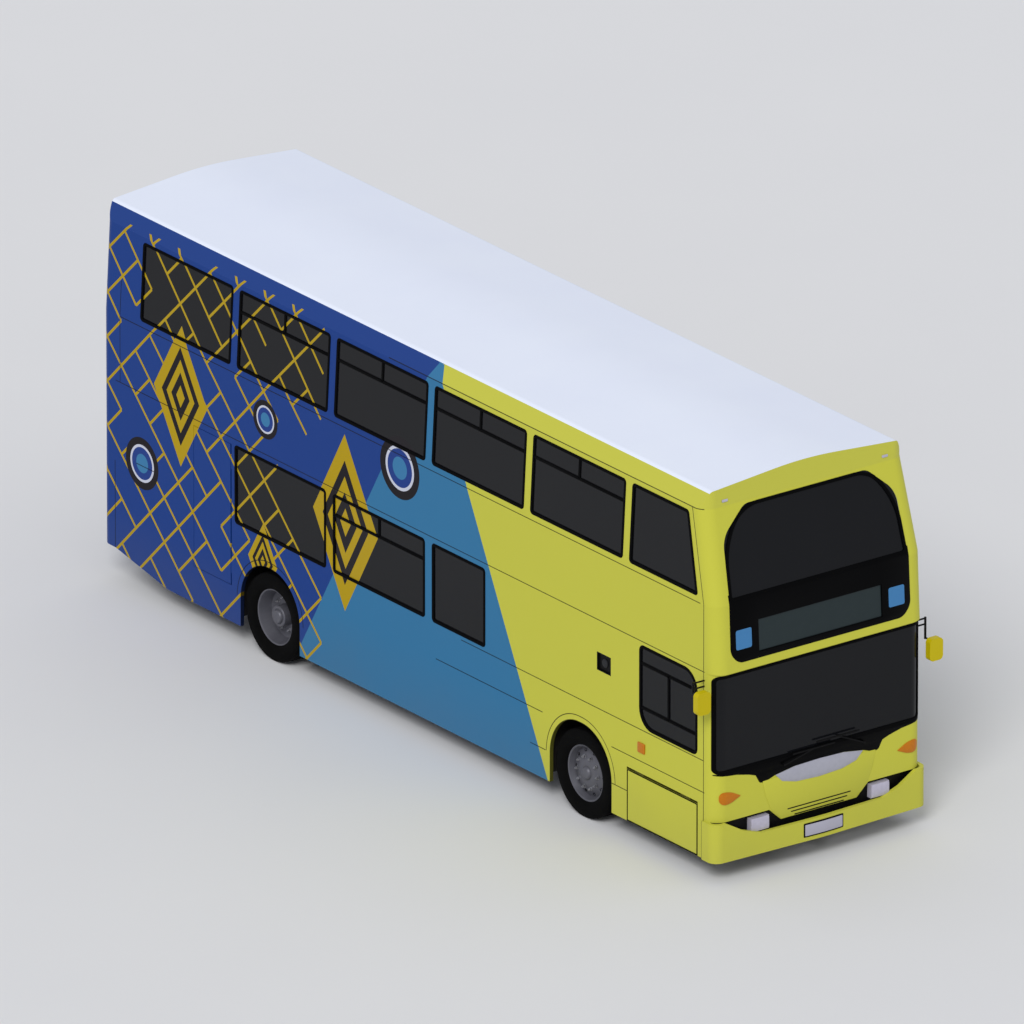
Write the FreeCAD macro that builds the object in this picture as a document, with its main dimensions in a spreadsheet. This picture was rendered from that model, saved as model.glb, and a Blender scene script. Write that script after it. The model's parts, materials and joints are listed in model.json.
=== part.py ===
"""A double decker bus as separate panels, glass, seats, running gear, doors and flaps.

The frame is X forward, Y to the nearside (the kerb side), Z up, in millimetres. The origin is on
the ground, under the middle of the bus.
"""
import FreeCAD, Part
import math
import os

import Sketcher
from FreeCAD import Placement, Rotation, Vector

SIZES = {
    # Whole vehicle: the length is the sum of the first three
    "rear_overhang": 2780,
    "wheelbase": 5060,
    "front_overhang": 2220,
    "body_width": 2550,
    "wall": 40,
    "clearance": 0.3,
    "overrun": 60,
    "side_cut_depth": 160,
    "roof_cut_depth": 600,
    # Levels above the ground
    "skirt_bottom": 220,
    "mid_level": 2165,
    "waist_level": 2860,
    "cantrail_level": 3790,
    "roof_edge_level": 3972,
    "crown_level": 4067,
    # Body section above the waist
    "cantrail_lean": 50,
    "roof_edge_inset": 145,
    "roof_edge_radius": 60,
    "crown_radius": 4500,
    # Rear end
    "rear_wrap": 220,
    "rear_corner": 120,
    "tail_bottom": 390,
    "tail_run": 1090,
    # Front end, set back from the foremost point of the bumper
    "front_wrap": 250,
    "front_wrap_top": 500,
    "front_corner": 150,
    "face_setback": 54,
    "waist_setback": 92,
    "cantrail_setback": 325,
    # Bumper and the shield above it
    "bumper_width": 2600,
    "bumper_top": 620,
    "bumper_crown": 44,
    "bumper_corner": 110,
    "bumper_crown_radius": 2500,
    "shield_bottom": 490,
    "shield_top_half": 600,
    "shield_bottom_half": 460,
    "intake_half": 1150,
    "intake_low": 435,
    "intake_depth": 30,
    "intake_rise": 60,
    "lamp_width": 220,
    "lamp_height": 140,
    "lamp_level": 515,
    "lamp_offset": 730,
    "lamp_depth": 60,
    # Screens
    "screen_bottom": 1120,
    "screen_top": 2145,
    "screen_half": 1250,
    "screen_corner": 60,
    "glass": 8,
    "glass_inset": 8,
    "upper_screen_bottom": 2880,
    "upper_screen_shoulder": 3500,
    "upper_screen_top": 3765,
    "upper_screen_half": 1080,
    "upper_screen_shoulder_half": 1045,
    "upper_screen_top_half": 740,
    "screen_shoulder_radius": 280,
    "screen_top_radius": 150,
    "moulding_overhang": 30,
    # Destination display
    "display_bottom": 2310,
    "display_top": 2645,
    "display_half": 750,
    "display_box_bottom": 2270,
    "display_box_top": 2820,
    "display_box_half": 1000,
    "display_box_depth": 150,
    # Upper deck windows
    "upper_window_bottom": 2920,
    "upper_window_top": 3740,
    "upper_row_start": 640,
    "upper_row_end": 1550,
    "upper_pillar": 100,
    "upper_window_count": 5,
    "window_corner": 45,
    "front_quarter_end": 345,
    "front_quarter_rake": 205,
    # Lower deck windows
    "lower_window_bottom": 1280,
    "lower_window_top": 2110,
    "lower_row_start": 580,
    "lower_row_end": 1540,
    "lower_pillar": 110,
    "short_window": 870,
    "nearside_window_count": 4,
    "driver_window_length": 935,
    "driver_window_margin": 95,
    "driver_window_bottom": 1260,
    "driver_window_top": 2130,
    "driver_window_sweep": 210,
    "driver_window_corner": 70,
    # Rear windows
    "rear_window_half": 820,
    "rear_window_bottom": 1400,
    "rear_window_top": 2060,
    "rear_upper_window_half": 880,
    # Wheel arches and boxes
    "front_arch_width": 990,
    "front_arch_top": 1000,
    "rear_arch_width": 966,
    "rear_arch_top": 982,
    "wheel_box_length": 1120,
    "wheel_box_top": 1010,
    "wheel_box_wall": 20,
    "front_box_width": 700,
    "rear_box_width": 690,
    # Floors
    "floor_top": 330,
    "floor_thickness": 40,
    "rear_floor_top": 620,
    "rear_floor_length": 3500,
    "engine_shelf_top": 1020,
    "engine_bay_length": 1000,
    "upper_floor_thickness": 80,
    # Underframe
    "rail_offset": 420,
    "rail_width": 80,
    "rail_depth": 60,
    "cradle_top": 480,
    "cross_member_width": 90,
    "tow_jaw_half": 60,
    "tow_jaw_reach": 90,
    "tow_bore_radius": 20,
    "tow_bore_inset": 45,
    # Wheels
    "tyre_radius": 456,
    "tyre_width": 275,
    "bead_width": 206,
    "rim_radius": 286,
    "rim_thickness": 18,
    "wheel_side_gap": 25,
    "twin_spacing": 310,
    "front_disc_offset": 55,
    "front_hub_offset": 88,
    "rear_disc_offset": -40,
    "rear_hub_offset": 66,
    "disc_thickness": 16,
    "hub_radius": 112,
    "stub_radius": 45,
    "rear_stub_radius": 62,
    "hub_back": 40,
    # Axles and steering knuckles
    "kingpin_inset": 130,
    "kingpin_radius": 18,
    "kingpin_boss_radius": 36,
    "kingpin_boss_half": 80,
    "beam_depth": 72,
    "beam_width": 100,
    "beam_low_half": 700,
    "beam_rise_run": 170,
    "lug_thickness": 30,
    "lug_width": 76,
    "upright_thickness": 26,
    "axle_tube_radius": 70,
    "axle_casing_radius": 105,
    "axle_casing_length": 420,
    "axle_gap": 40,
    # Entrance doors
    "door_setback": 195,
    "door_width": 1120,
    "door_top": 2080,
    "door_gap": 8,
    "door_jamb_gap": 20,
    "door_surround": 65,
    "leaf_thickness": 40,
    "leaf_setback": 20,
    "leaf_frame": 55,
    "leaf_kick": 90,
    "post_radius": 12,
    "post_inset": 25,
    "arm_offset": 25,
    "arm_gap": 6,
    "arm_height": 20,
    "door_pin_radius": 6,
    "lug_plate": 12,
    # Flaps
    "flap_gap": 6,
    "flap_thickness": 25,
    "hinge_radius": 7,
    "hinge_gap": 11,
    "hinge_segment": 70,
    "hinge_inset_run": 120,
    "locker_start": 1220,
    "locker_end": 98,
    "locker_top": 763,
    "emergency_setback": 650,
    "emergency_width": 602,
    "emergency_bottom": 612,
    "emergency_top": 2090,
    "engine_door_half": 900,
    "engine_door_bottom": 470,
    "engine_door_top": 1230,
    # Filler recess
    "filler_offset": 372,
    "filler_width": 225,
    "filler_bottom": 1640,
    "filler_height": 190,
    "filler_depth": 25,
    # Interior
    "seat_width": 860,
    "seat_side_gap": 35,
    "seat_depth": 450,
    "seat_height": 450,
    "cushion": 80,
    "back_height": 1050,
    "back_thickness": 70,
    "back_lean": 80,
    "pedestal": 200,
    "upper_seat_start": 330,
    "upper_seat_end": 620,
    "upper_seat_rows": 11,
    "upper_stair_rows": 7,
    "upper_front_rows": 1,
    "bench_rows": 1,
    "lower_seat_rows": 4,
    "lower_stair_rows": 3,
    "seat_wheel_gap": 60,
    "stair_width": 615,
    "stair_foot": 1640,
    "stair_going": 232,
    "stair_plate": 30,
    "stair_headroom_start": 150,
    "stair_steps": 9,
    "partition_setback": 1200,
    "partition": 25,
    "cab_half_top": 1350,
    "cab_side": 420,
    "cab_side_length": 730,
    "dash_depth": 260,
    "dash_top": 1090,
    "driver_seat_width": 480,
    "driver_seat_setback": 1080,
    "steering_radius": 225,
    "steering_tube": 14,
    "steering_level": 1080,
    "steering_setback": 560,
    "column_radius": 32,
    "pole_radius": 17,
    "pole_offset": 318,
    "pole_count": 4,
    # Engine
    "engine_half_width": 600,
    "engine_height": 470,
    "engine_gap": 90,
    # Lamps, wipers and mirrors
    "indicator_inner": 950,
    "indicator_middle": 1124,
    "indicator_outer": 1185,
    "indicator_bottom": 797,
    "indicator_tip": 844,
    "indicator_end": 877,
    "indicator_top": 934,
    "indicator_corner": 16,
    "lens": 12,
    "rear_lamp_width": 90,
    "rear_lamp_height": 320,
    "rear_lamp_offset": 1080,
    "rear_lamp_bottom": 1500,
    "wiper_spindle": 1058,
    "wiper_spindle_radius": 12,
    "wiper_width": 14,
    "wiper_stand": 22,
    "wiper_blade_half": 256,
    "wiper_near_spindle": 530,
    "wiper_near_blade": 209,
    "wiper_near_level": 1195,
    "wiper_off_spindle": 439,
    "wiper_off_blade": 86,
    "wiper_off_level": 1138,
    "mirror_rod_radius": 9,
    "mirror_post_radius": 12,
    "mirror_rod_level": 2080,
    "mirror_rod_spread": 60,
    "mirror_setback": 241,
    "mirror_reach": 1410,
    "mirror_forward": 146,
    "mirror_half_width": 80,
    "mirror_height": 230,
    "mirror_depth": 70,
    "mirror_drop_nearside": 155,
    "mirror_drop_offside": 40,
}


class Size:
    """A length with the sheet expression that gives it, so that one value drives both."""

    def __init__(self, value, text):
        self.value = float(value)
        self.text = text

    def __add__(self, other):
        return Size(self.value + number(other), f"({self.text} + {words(other)})")

    def __radd__(self, other):
        return self + other

    def __sub__(self, other):
        return Size(self.value - number(other), f"({self.text} - {words(other)})")

    def __neg__(self):
        return Size(-self.value, f"(-1 * {self.text})")

    def __mul__(self, other):
        return Size(self.value * number(other), f"({self.text} * {words(other)})")

    def __rmul__(self, other):
        return self * other

    def __truediv__(self, other):
        return Size(self.value / number(other), f"({self.text} / {words(other)})")


def number(size):
    """The plain value of a size, or of a bare number."""
    return size.value if isinstance(size, Size) else float(size)


def words(size):
    """The expression of a size, or of a bare number."""
    return size.text if isinstance(size, Size) else repr(size)


class SizeTable:
    """Every size of the sheet as an attribute."""

    def __init__(self, table):
        for name, value in table.items():
            setattr(self, name, Size(value, f"Sizes.{name}"))


S = SizeTable(SIZES)
doc = FreeCAD.newDocument("double_decker_bus")
sheet = doc.addObject("Spreadsheet::Sheet", "Sizes")
for row, (name, value) in enumerate(SIZES.items(), start=1):
    sheet.set(f"A{row}", name)
    sheet.set(f"B{row}", str(value))
    sheet.setAlias(f"B{row}", name)
doc.recompute()

NODES = []

# Places that several pieces share
FLUSH = Size(0, "0")
LENGTH = S.rear_overhang + S.wheelbase + S.front_overhang
REAR = -LENGTH / 2
FRONT = LENGTH / 2
REAR_AXLE = REAR + S.rear_overhang
FRONT_AXLE = REAR_AXLE + S.wheelbase
HALF = S.body_width / 2
INNER = HALF - S.wall
TOP_HALF = HALF - S.cantrail_lean
REAR_SPLIT = REAR + S.rear_wrap
FRONT_SPLIT = FRONT - S.front_wrap
TOP_SPLIT = FRONT - S.front_wrap_top
FACE = FRONT - S.face_setback
LOWER_FACE = FACE - S.moulding_overhang
WAIST_FACE = FRONT - S.waist_setback
TOP_FACE = FRONT - S.cantrail_setback
UPPER_FLOOR_TOP = S.mid_level + S.upper_floor_thickness
RAIL_TOP = S.floor_top - S.floor_thickness
RAIL_BOTTOM = RAIL_TOP - S.rail_depth
WHEEL_CENTRE = HALF - S.wheel_side_gap - S.tyre_width / 2
KINGPIN = WHEEL_CENTRE - S.kingpin_inset
DOOR_FRONT = FRONT_SPLIT - S.door_setback
DOOR_REAR = DOOR_FRONT - S.door_width
STAIR_FOOT = FRONT_AXLE - S.stair_foot
STAIR_TOP = STAIR_FOOT + S.stair_going * (S.stair_steps - 1) + S.stair_plate
STAIR_INNER = INNER - S.stair_width


def bind(item, **expressions):
    """Tie properties of a document object to the sheet."""
    for path, size in expressions.items():
        path = path.replace("__", ".")
        item.setExpression(path, words(size))


def add_loop(sketch, corners):
    """Draw a closed loop through (u, v) or rounded (u, v, radius) corners, all bound to the sheet."""
    count = len(corners)
    spots = [Vector(number(c[0]), number(c[1]), 0) for c in corners]
    trims = []
    for index, corner in enumerate(corners):
        here = spots[index]
        if len(corner) == 2:
            trims.append((here, here, None, 0))
            continue
        back = (spots[index - 1] - here).normalize()
        ahead = (spots[(index + 1) % count] - here).normalize()
        half_angle = back.getAngle(ahead) / 2
        radius = number(corner[2])
        reach = radius / math.tan(half_angle)
        centre = here + (back + ahead).normalize() * (radius / math.sin(half_angle))
        turn = back.cross(ahead).z
        trims.append((here + back * reach, here + ahead * reach, centre, turn))
    lines = []
    for index in range(count):
        start, end = trims[index][1], trims[(index + 1) % count][0]
        lines.append(sketch.addGeometry(Part.LineSegment(start, end), False))
    for index, corner in enumerate(corners):
        before, after = lines[index - 1], lines[index]
        arrive, leave, centre, turn = trims[index]
        if centre is None:
            sketch.addConstraint(Sketcher.Constraint("Coincident", before, 2, after, 1))
            fixed = after
        else:
            circle = Part.Circle(centre, Vector(0, 0, 1), number(corner[2]))
            first, last = (arrive, leave) if turn < 0 else (leave, arrive)
            angles = [math.atan2(p.y - centre.y, p.x - centre.x) for p in (first, last)]
            arc = sketch.addGeometry(Part.ArcOfCircle(circle, *angles), False)
            ends = (1, 2) if turn < 0 else (2, 1)
            fixed = sketch.addGeometry(Part.Point(spots[index]), True)
            sketch.addConstraint(Sketcher.Constraint("PointOnObject", fixed, 1, before))
            sketch.addConstraint(Sketcher.Constraint("PointOnObject", fixed, 1, after))
            sketch.addConstraint(Sketcher.Constraint("Tangent", before, 2, arc, ends[0]))
            sketch.addConstraint(Sketcher.Constraint("Tangent", arc, ends[1], after, 1))
            radius = sketch.addConstraint(Sketcher.Constraint("Radius", arc, number(corner[2])))
            sketch.setExpression(f"Constraints[{radius}]", words(corner[2]))
        for kind, place in (("DistanceX", corner[0]), ("DistanceY", corner[1])):
            rule = sketch.addConstraint(Sketcher.Constraint(kind, fixed, 1, number(place)))
            sketch.setExpression(f"Constraints[{rule}]", words(place))


class Solid:
    """A PartDesign body that grows feature by feature."""

    def __init__(self, label):
        self.label = label
        self.body = doc.addObject("PartDesign::Body", label)
        self.body.Label = label

    def origin(self, role):
        """The body's own origin plane or axis."""
        return next(item for item in self.body.Origin.OriginFeatures if item.Role == role)

    def sketch(self, plane, loops, start=0):
        """A sketch on an origin plane, moved to the given height along the plane's axis."""
        sketch = self.body.newObject("Sketcher::SketchObject", self.label + "_sketch")
        sketch.AttachmentSupport = [(self.origin(plane + "_Plane"), "")]
        sketch.MapMode = "FlatFace"
        offset = -start if plane == "XZ" and isinstance(start, Size) else start
        sketch.setExpression("AttachmentOffset.Base.z", words(offset))
        for corners in loops:
            add_loop(sketch, corners)
        return sketch

    def pad(self, plane, loops, start, depth):
        """Extrude loops from start over a depth, towards the plane's positive axis."""
        feature = self.body.newObject("PartDesign::Pad", self.label + "_pad")
        feature.Profile = self.sketch(plane, loops, start)
        feature.Reversed = plane == "XZ"
        feature.setExpression("Length", words(depth))
        self.body.Tip = feature
        return feature

    def pocket(self, plane, loops, start, depth):
        """Cut loops from start over a depth, towards the plane's positive axis."""
        feature = self.body.newObject("PartDesign::Pocket", self.label + "_pocket")
        feature.Profile = self.sketch(plane, loops, start)
        feature.Reversed = plane != "XZ"
        feature.setExpression("Length", words(depth))
        self.body.Tip = feature
        return feature

    def turn(self, corners):
        """Revolve a profile, drawn with Y across and Z out, about the Y axis."""
        feature = self.body.newObject("PartDesign::Revolution", self.label + "_turned")
        sketch = self.sketch("YZ", [corners])
        feature.Profile = sketch
        feature.ReferenceAxis = (sketch, ["H_Axis"])
        feature.Angle = 360
        self.body.Tip = feature
        return feature

    def loft(self, kind, levels):
        """A ruled loft through horizontal (level, corners) sections."""
        feature = self.body.newObject("PartDesign::" + kind, self.label + "_loft")
        sketches = [self.sketch("XY", [corners], level) for level, corners in levels]
        feature.Profile = sketches[0]
        feature.Sections = sketches[1:]
        feature.Ruled = True
        self.body.Tip = feature
        return feature

    def repeat(self, feature, axis, step, count):
        """Repeat a feature along an axis with a given step."""
        pattern = self.body.newObject("PartDesign::LinearPattern", self.label + "_row")
        pattern.Originals = [feature]
        pattern.Direction = (self.origin(axis + "_Axis"), [""])
        pattern.Mode = "Spacing"
        pattern.setExpression("Offset", words(step))
        pattern.Occurrences = int(number(count))
        self.body.Tip = pattern
        return pattern

    def place(self, x_place, y_place, z_place):
        """Move the whole body."""
        bind(self.body, Placement__Base__x=x_place, Placement__Base__y=y_place,
             Placement__Base__z=z_place)
        return self


def shape_of(item):
    """The document object behind a solid or a plain object."""
    return item.body if isinstance(item, Solid) else item


def box(label, x_from, x_to, y_from, y_to, z_from, z_to):
    """A box between two places on each axis."""
    item = doc.addObject("Part::Box", label)
    bind(item, Length=x_to - x_from, Width=y_to - y_from, Height=z_to - z_from,
         Placement__Base__x=x_from, Placement__Base__y=y_from, Placement__Base__z=z_from)
    return item


AXES = {"X": Vector(1, 0, 0), "Y": Vector(0, 1, 0), "Z": Vector(0, 0, 1)}


def rod(label, axis, x_place, y_place, z_place, length, radius):
    """A round bar that starts at a place and runs along an axis."""
    item = doc.addObject("Part::Cylinder", label)
    item.Placement = Placement(Vector(), Rotation(Vector(0, 0, 1), AXES[axis]))
    bind(item, Height=length, Radius=radius, Placement__Base__x=x_place,
         Placement__Base__y=y_place, Placement__Base__z=z_place)
    return item


def cut(label, base, *tools):
    """A base without its tools."""
    item = doc.addObject("Part::Cut", label)
    item.Base = shape_of(base)
    item.Tool = shape_of(tools[0]) if len(tools) == 1 else fuse(label + "_tools", *tools)
    item.Refine = True
    return item


def fuse(label, *items):
    """Several shapes joined to one."""
    item = doc.addObject("Part::MultiFuse", label)
    item.Shapes = [shape_of(part) for part in items]
    item.Refine = True
    return item


def common(label, first, second):
    """What two shapes share."""
    item = doc.addObject("Part::Common", label)
    item.Base = shape_of(first)
    item.Tool = shape_of(second)
    item.Refine = True
    return item


def group(label, *items):
    """Separate solids kept as one sub-part."""
    item = doc.addObject("Part::Compound", label)
    item.Links = [shape_of(part) for part in items]
    return item


def mirrored(label, source):
    """The same piece on the other side of the bus."""
    item = doc.addObject("Part::Mirroring", label)
    item.Source = shape_of(source)
    item.Base = Vector()
    item.Normal = AXES["Y"]
    return item


def keep(label, item):
    """Name a finished sub-part, to be written out under that name."""
    item = shape_of(item)
    item.Label = label
    NODES.append(item)
    return item


def rectangle(u_from, u_to, v_from, v_to, radius=None):
    """The corners of a rectangle, rounded when a radius is given."""
    tail = () if radius is None else (radius,)
    places = ((u_from, v_from), (u_to, v_from), (u_to, v_to), (u_from, v_to))
    return [place + tail for place in places]


def wrapped_section(split, face, half, corner, inset, open_run=0):
    """A plan section of an end moulding: two cheeks and a face, drawn at an inset from its skin."""
    side = 1 if number(face) > number(split) else -1
    face_place = face - inset * side
    back = split - open_run * side if isinstance(open_run, Size) else split
    wide = half - inset
    radius = corner - inset
    return [(back, -wide), (face_place, -wide, radius), (face_place, wide, radius), (back, wide)]


def wrapped_shell(label, levels, outer_inset, inner_inset):
    """A hollow end moulding through (level, split, face, half width, corner) stations."""
    shell = Solid(label)
    shell.loft("AdditiveLoft", [
        (level, wrapped_section(split, face, half, corner, outer_inset))
        for level, split, face, half, corner in levels])
    shell.loft("SubtractiveLoft", [
        (level, wrapped_section(split, face, half, corner, inner_inset, S.overrun))
        for level, split, face, half, corner in levels])
    return shell


FRONT_LOWER_LEVELS = [
    (S.shield_bottom, FRONT_SPLIT, LOWER_FACE, HALF, S.front_corner),
    (S.mid_level, FRONT_SPLIT, LOWER_FACE, HALF, S.front_corner),
]
FRONT_UPPER_LEVELS = [
    (S.mid_level, FRONT_SPLIT, FACE, HALF, S.front_corner),
    (S.waist_level, FRONT_SPLIT, WAIST_FACE, HALF, S.front_corner),
    (S.cantrail_level, TOP_SPLIT, TOP_FACE, TOP_HALF, S.front_corner),
]
REAR_LOWER_LEVELS = [
    (S.tail_bottom, REAR_SPLIT, REAR, HALF, S.rear_corner),
    (S.mid_level, REAR_SPLIT, REAR, HALF, S.rear_corner),
]
REAR_UPPER_LEVELS = [
    (S.mid_level, REAR_SPLIT, REAR, HALF, S.rear_corner),
    (S.waist_level, REAR_SPLIT, REAR, HALF, S.rear_corner),
    (S.cantrail_level, REAR_SPLIT, REAR, TOP_HALF, S.rear_corner),
]


def hinge_piece(label, axis, start, place, toward, reach):
    """A hinge barrel along an axis, with the plate that joins it to an edge at a signed reach."""
    across = next(letter for letter in "XYZ" if letter not in (axis, toward))
    place = dict(place)
    place[axis] = start
    barrel = rod(label + "_barrel", axis, place["X"], place["Y"], place["Z"],
                 S.hinge_segment, S.hinge_radius)
    low, high = dict(place), dict(place)
    high[axis] = start + S.hinge_segment
    low[across] = place[across] - S.hinge_radius / 2
    high[across] = place[across] + S.hinge_radius / 2
    if number(reach) > 0:
        high[toward] = place[toward] + reach
    else:
        low[toward] = place[toward] + reach
    plate = box(label + "_plate", low["X"], high["X"], low["Y"], high["Y"], low["Z"], high["Z"])
    return fuse(label, barrel, plate)


def hinge_pair(label, axis, starts, place, toward, frame_side):
    """Two hinges: the pieces of the frame and the pieces of the flap, end to end."""
    frame_pieces, flap_pieces = [], []
    for index, start in enumerate(starts):
        tag = f"{label}_{index}"
        frame_pieces.append(hinge_piece(tag + "_frame", axis, start, place, toward,
                                        S.hinge_gap * frame_side))
        second = start + S.hinge_segment + S.clearance
        flap_pieces.append(hinge_piece(tag + "_flap", axis, second, place, toward,
                                       -S.hinge_gap * frame_side))
    return frame_pieces, flap_pieces


# Places of the flaps
LOCKER_REAR = FRONT_SPLIT - S.locker_start
LOCKER_FRONT = FRONT_SPLIT - S.locker_end
LOCKER_HINGE = {"X": LOCKER_REAR, "Y": -HALF + S.hinge_radius, "Z": S.locker_top + S.hinge_gap}
ESCAPE_FRONT = REAR_AXLE - S.emergency_setback
ESCAPE_REAR = ESCAPE_FRONT - S.emergency_width
ESCAPE_HINGE = {"X": ESCAPE_FRONT + S.hinge_gap, "Y": -HALF + S.hinge_radius,
                "Z": S.emergency_bottom}
ENGINE_HINGE = {"X": REAR + S.hinge_radius, "Y": -S.engine_door_half,
                "Z": S.engine_door_top + S.hinge_gap}


def hinge_starts(low, high):
    """Where the two hinges of a flap begin, between its two ends."""
    pair_length = S.hinge_segment * 2 + S.clearance
    return low + S.hinge_inset_run, high - S.hinge_inset_run - pair_length


LOCKER_FRAME, LOCKER_LEAF = hinge_pair(
    "locker_hinge", "X", hinge_starts(LOCKER_REAR, LOCKER_FRONT), LOCKER_HINGE, "Z", 1)
ESCAPE_FRAME, ESCAPE_LEAF = hinge_pair(
    "escape_hinge", "Z", hinge_starts(S.emergency_bottom, S.emergency_top), ESCAPE_HINGE, "X", 1)
ENGINE_FRAME, ENGINE_LEAF = hinge_pair(
    "engine_hinge", "Y", hinge_starts(-S.engine_door_half, S.engine_door_half), ENGINE_HINGE, "Z", 1)

ARCH_ROUND_SHARE = 0.48


def arch(axle, width, top):
    """The edge of a wheel arch, from its rear foot over the top to its front foot."""
    radius = width * ARCH_ROUND_SHARE
    return [(axle - width / 2, S.skirt_bottom), (axle - width / 2, top, radius),
            (axle + width / 2, top, radius), (axle + width / 2, S.skirt_bottom)]


def skirt_line():
    """The lower edge of a side, from the tail over both wheel arches."""
    return [(REAR_SPLIT, S.tail_bottom), (REAR + S.tail_run, S.skirt_bottom),
            *arch(REAR_AXLE, S.rear_arch_width, S.rear_arch_top),
            *arch(FRONT_AXLE, S.front_arch_width, S.front_arch_top)]


def window_bar(label, places, bottom, top, y_from, depth, inset=0):
    """Bars in the shape of several windows, across a side wall: they cut it or become its glass."""
    windows = Solid(label)
    loops = [rectangle(low + inset, high - inset, bottom + inset, top - inset, S.window_corner)
             for low, high in places]
    windows.pad("XZ", loops, y_from, depth)
    return windows


UPPER_ROW_START = REAR + S.upper_row_start
UPPER_ROW_END = FRONT - S.upper_row_end
UPPER_PITCH = (UPPER_ROW_END - UPPER_ROW_START + S.upper_pillar) / S.upper_window_count
LOWER_ROW_START = REAR_AXLE - S.lower_row_start
LOWER_ROW_END = FRONT_AXLE - S.lower_row_end
LONG_WINDOW = (LOWER_ROW_END - LOWER_ROW_START - S.short_window - S.lower_pillar * 2) / 2
NEAR_ROW_END = DOOR_REAR - S.door_surround - S.lower_pillar
NEAR_PITCH = (NEAR_ROW_END - LOWER_ROW_START + S.lower_pillar) / S.nearside_window_count
SECOND_START = LOWER_ROW_START + LONG_WINDOW + S.lower_pillar
SHORT_START = SECOND_START + LONG_WINDOW + S.lower_pillar
OFFSIDE_WINDOWS = [(LOWER_ROW_START, LOWER_ROW_START + LONG_WINDOW),
                   (SECOND_START, SECOND_START + LONG_WINDOW),
                   (SHORT_START, SHORT_START + S.short_window)]
NEARSIDE_WINDOWS = [
    (LOWER_ROW_START + NEAR_PITCH * index,
     LOWER_ROW_START + NEAR_PITCH * (index + 1) - S.lower_pillar)
    for index in range(SIZES["nearside_window_count"])]
DRIVER_WINDOW = (FRONT_SPLIT - S.driver_window_margin - S.driver_window_length,
                 FRONT_SPLIT - S.driver_window_margin)


def driver_outline(inset=0):
    """The edge of the driver's window, swept at its lower rear and upper front corners."""
    low, high = DRIVER_WINDOW
    bottom, top = S.driver_window_bottom + inset, S.driver_window_top - inset
    return [(low + inset, bottom, S.driver_window_sweep),
            (high - inset, bottom, S.driver_window_corner),
            (high - inset, top, S.driver_window_sweep),
            (low + inset, top, S.driver_window_corner)]


def lower_sides():
    """Both lower side walls, with their arches, windows and the openings of their flaps."""
    offside = Solid("offside_wall")
    outline = skirt_line() + [
        (LOCKER_REAR - S.flap_gap, S.skirt_bottom),
        (LOCKER_REAR - S.flap_gap, S.locker_top + S.hinge_gap * 2),
        (LOCKER_FRONT + S.flap_gap, S.locker_top + S.hinge_gap * 2),
        (LOCKER_FRONT + S.flap_gap, S.skirt_bottom),
        (FRONT_SPLIT, S.skirt_bottom), (FRONT_SPLIT, S.mid_level), (REAR_SPLIT, S.mid_level)]
    escape = rectangle(ESCAPE_REAR - S.flap_gap, ESCAPE_FRONT + S.hinge_gap * 2,
                       S.emergency_bottom - S.flap_gap, S.emergency_top + S.flap_gap)
    offside.pad("XZ", [outline, escape], -HALF, S.wall)
    holes = window_bar("offside_holes", OFFSIDE_WINDOWS, S.lower_window_bottom,
                       S.lower_window_top, -HALF, S.wall)
    driver_hole = Solid("driver_hole")
    driver_hole.pad("XZ", [driver_outline()], -HALF, S.wall)
    filler_front = FRONT_AXLE + S.filler_offset + S.filler_width / 2
    filler = box("filler_recess", filler_front - S.filler_width, filler_front, -HALF,
                 -HALF + S.filler_depth, S.filler_bottom, S.filler_bottom + S.filler_height)
    pierced = cut("offside_pierced", offside, holes, driver_hole, filler)
    keep("lower_side_offside", fuse("offside_side", pierced, *LOCKER_FRAME, *ESCAPE_FRAME))

    nearside = Solid("nearside_wall")
    door_edge = DOOR_REAR - S.door_surround
    outline = skirt_line() + [
        (door_edge, S.skirt_bottom), (door_edge, S.mid_level), (REAR_SPLIT, S.mid_level)]
    nearside.pad("XZ", [outline], INNER, S.wall)
    holes = window_bar("nearside_holes", NEARSIDE_WINDOWS, S.lower_window_bottom,
                       S.lower_window_top, INNER, S.wall)
    keep("lower_side_nearside", cut("nearside_side", nearside, holes))

    surround = Solid("entrance_frame")
    outline = rectangle(door_edge, FRONT_SPLIT, S.skirt_bottom, S.mid_level)
    doorway = rectangle(DOOR_REAR, DOOR_FRONT, S.floor_top, S.door_top)
    surround.pad("XZ", [outline, doorway], INNER, S.wall)
    keep("entrance_frame", surround)


def leaning_strip(label, length, inset, thickness):
    """A strip with the lean of an upper side, at an inset from its skin, along the whole bus."""
    strip = Solid(label)
    outer = [(-HALF + inset, S.mid_level), (-HALF + inset, S.waist_level),
             (-TOP_HALF + inset, S.cantrail_level)]
    inner = [(place + thickness, level) for place, level in reversed(outer)]
    strip.pad("YZ", [outer + inner], REAR_SPLIT, length)
    return strip


def upper_window_bars(label, inset=0):
    """The openings of an upper side, as bars across it."""
    bars = Solid(label)
    first = rectangle(UPPER_ROW_START + inset, UPPER_ROW_START + UPPER_PITCH - S.upper_pillar - inset,
                      S.upper_window_bottom + inset, S.upper_window_top - inset, S.window_corner)
    row = bars.pad("XZ", [first], -HALF - S.overrun, S.side_cut_depth)
    bars.repeat(row, "X", UPPER_PITCH, S.upper_window_count)
    quarter = Solid(label + "_quarter")
    start = UPPER_ROW_START + UPPER_PITCH * S.upper_window_count
    end = FRONT - S.front_quarter_end
    quarter.pad("XZ", [[
        (start + inset, S.upper_window_bottom + inset, S.window_corner),
        (end - inset * 2, S.upper_window_bottom + inset, S.window_corner),
        (end - S.front_quarter_rake - inset * 2, S.upper_window_top - inset, S.window_corner),
        (start + inset, S.upper_window_top - inset, S.window_corner)]],
        -HALF - S.overrun, S.side_cut_depth)
    return group(label + "_all", bars, quarter)


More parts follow.
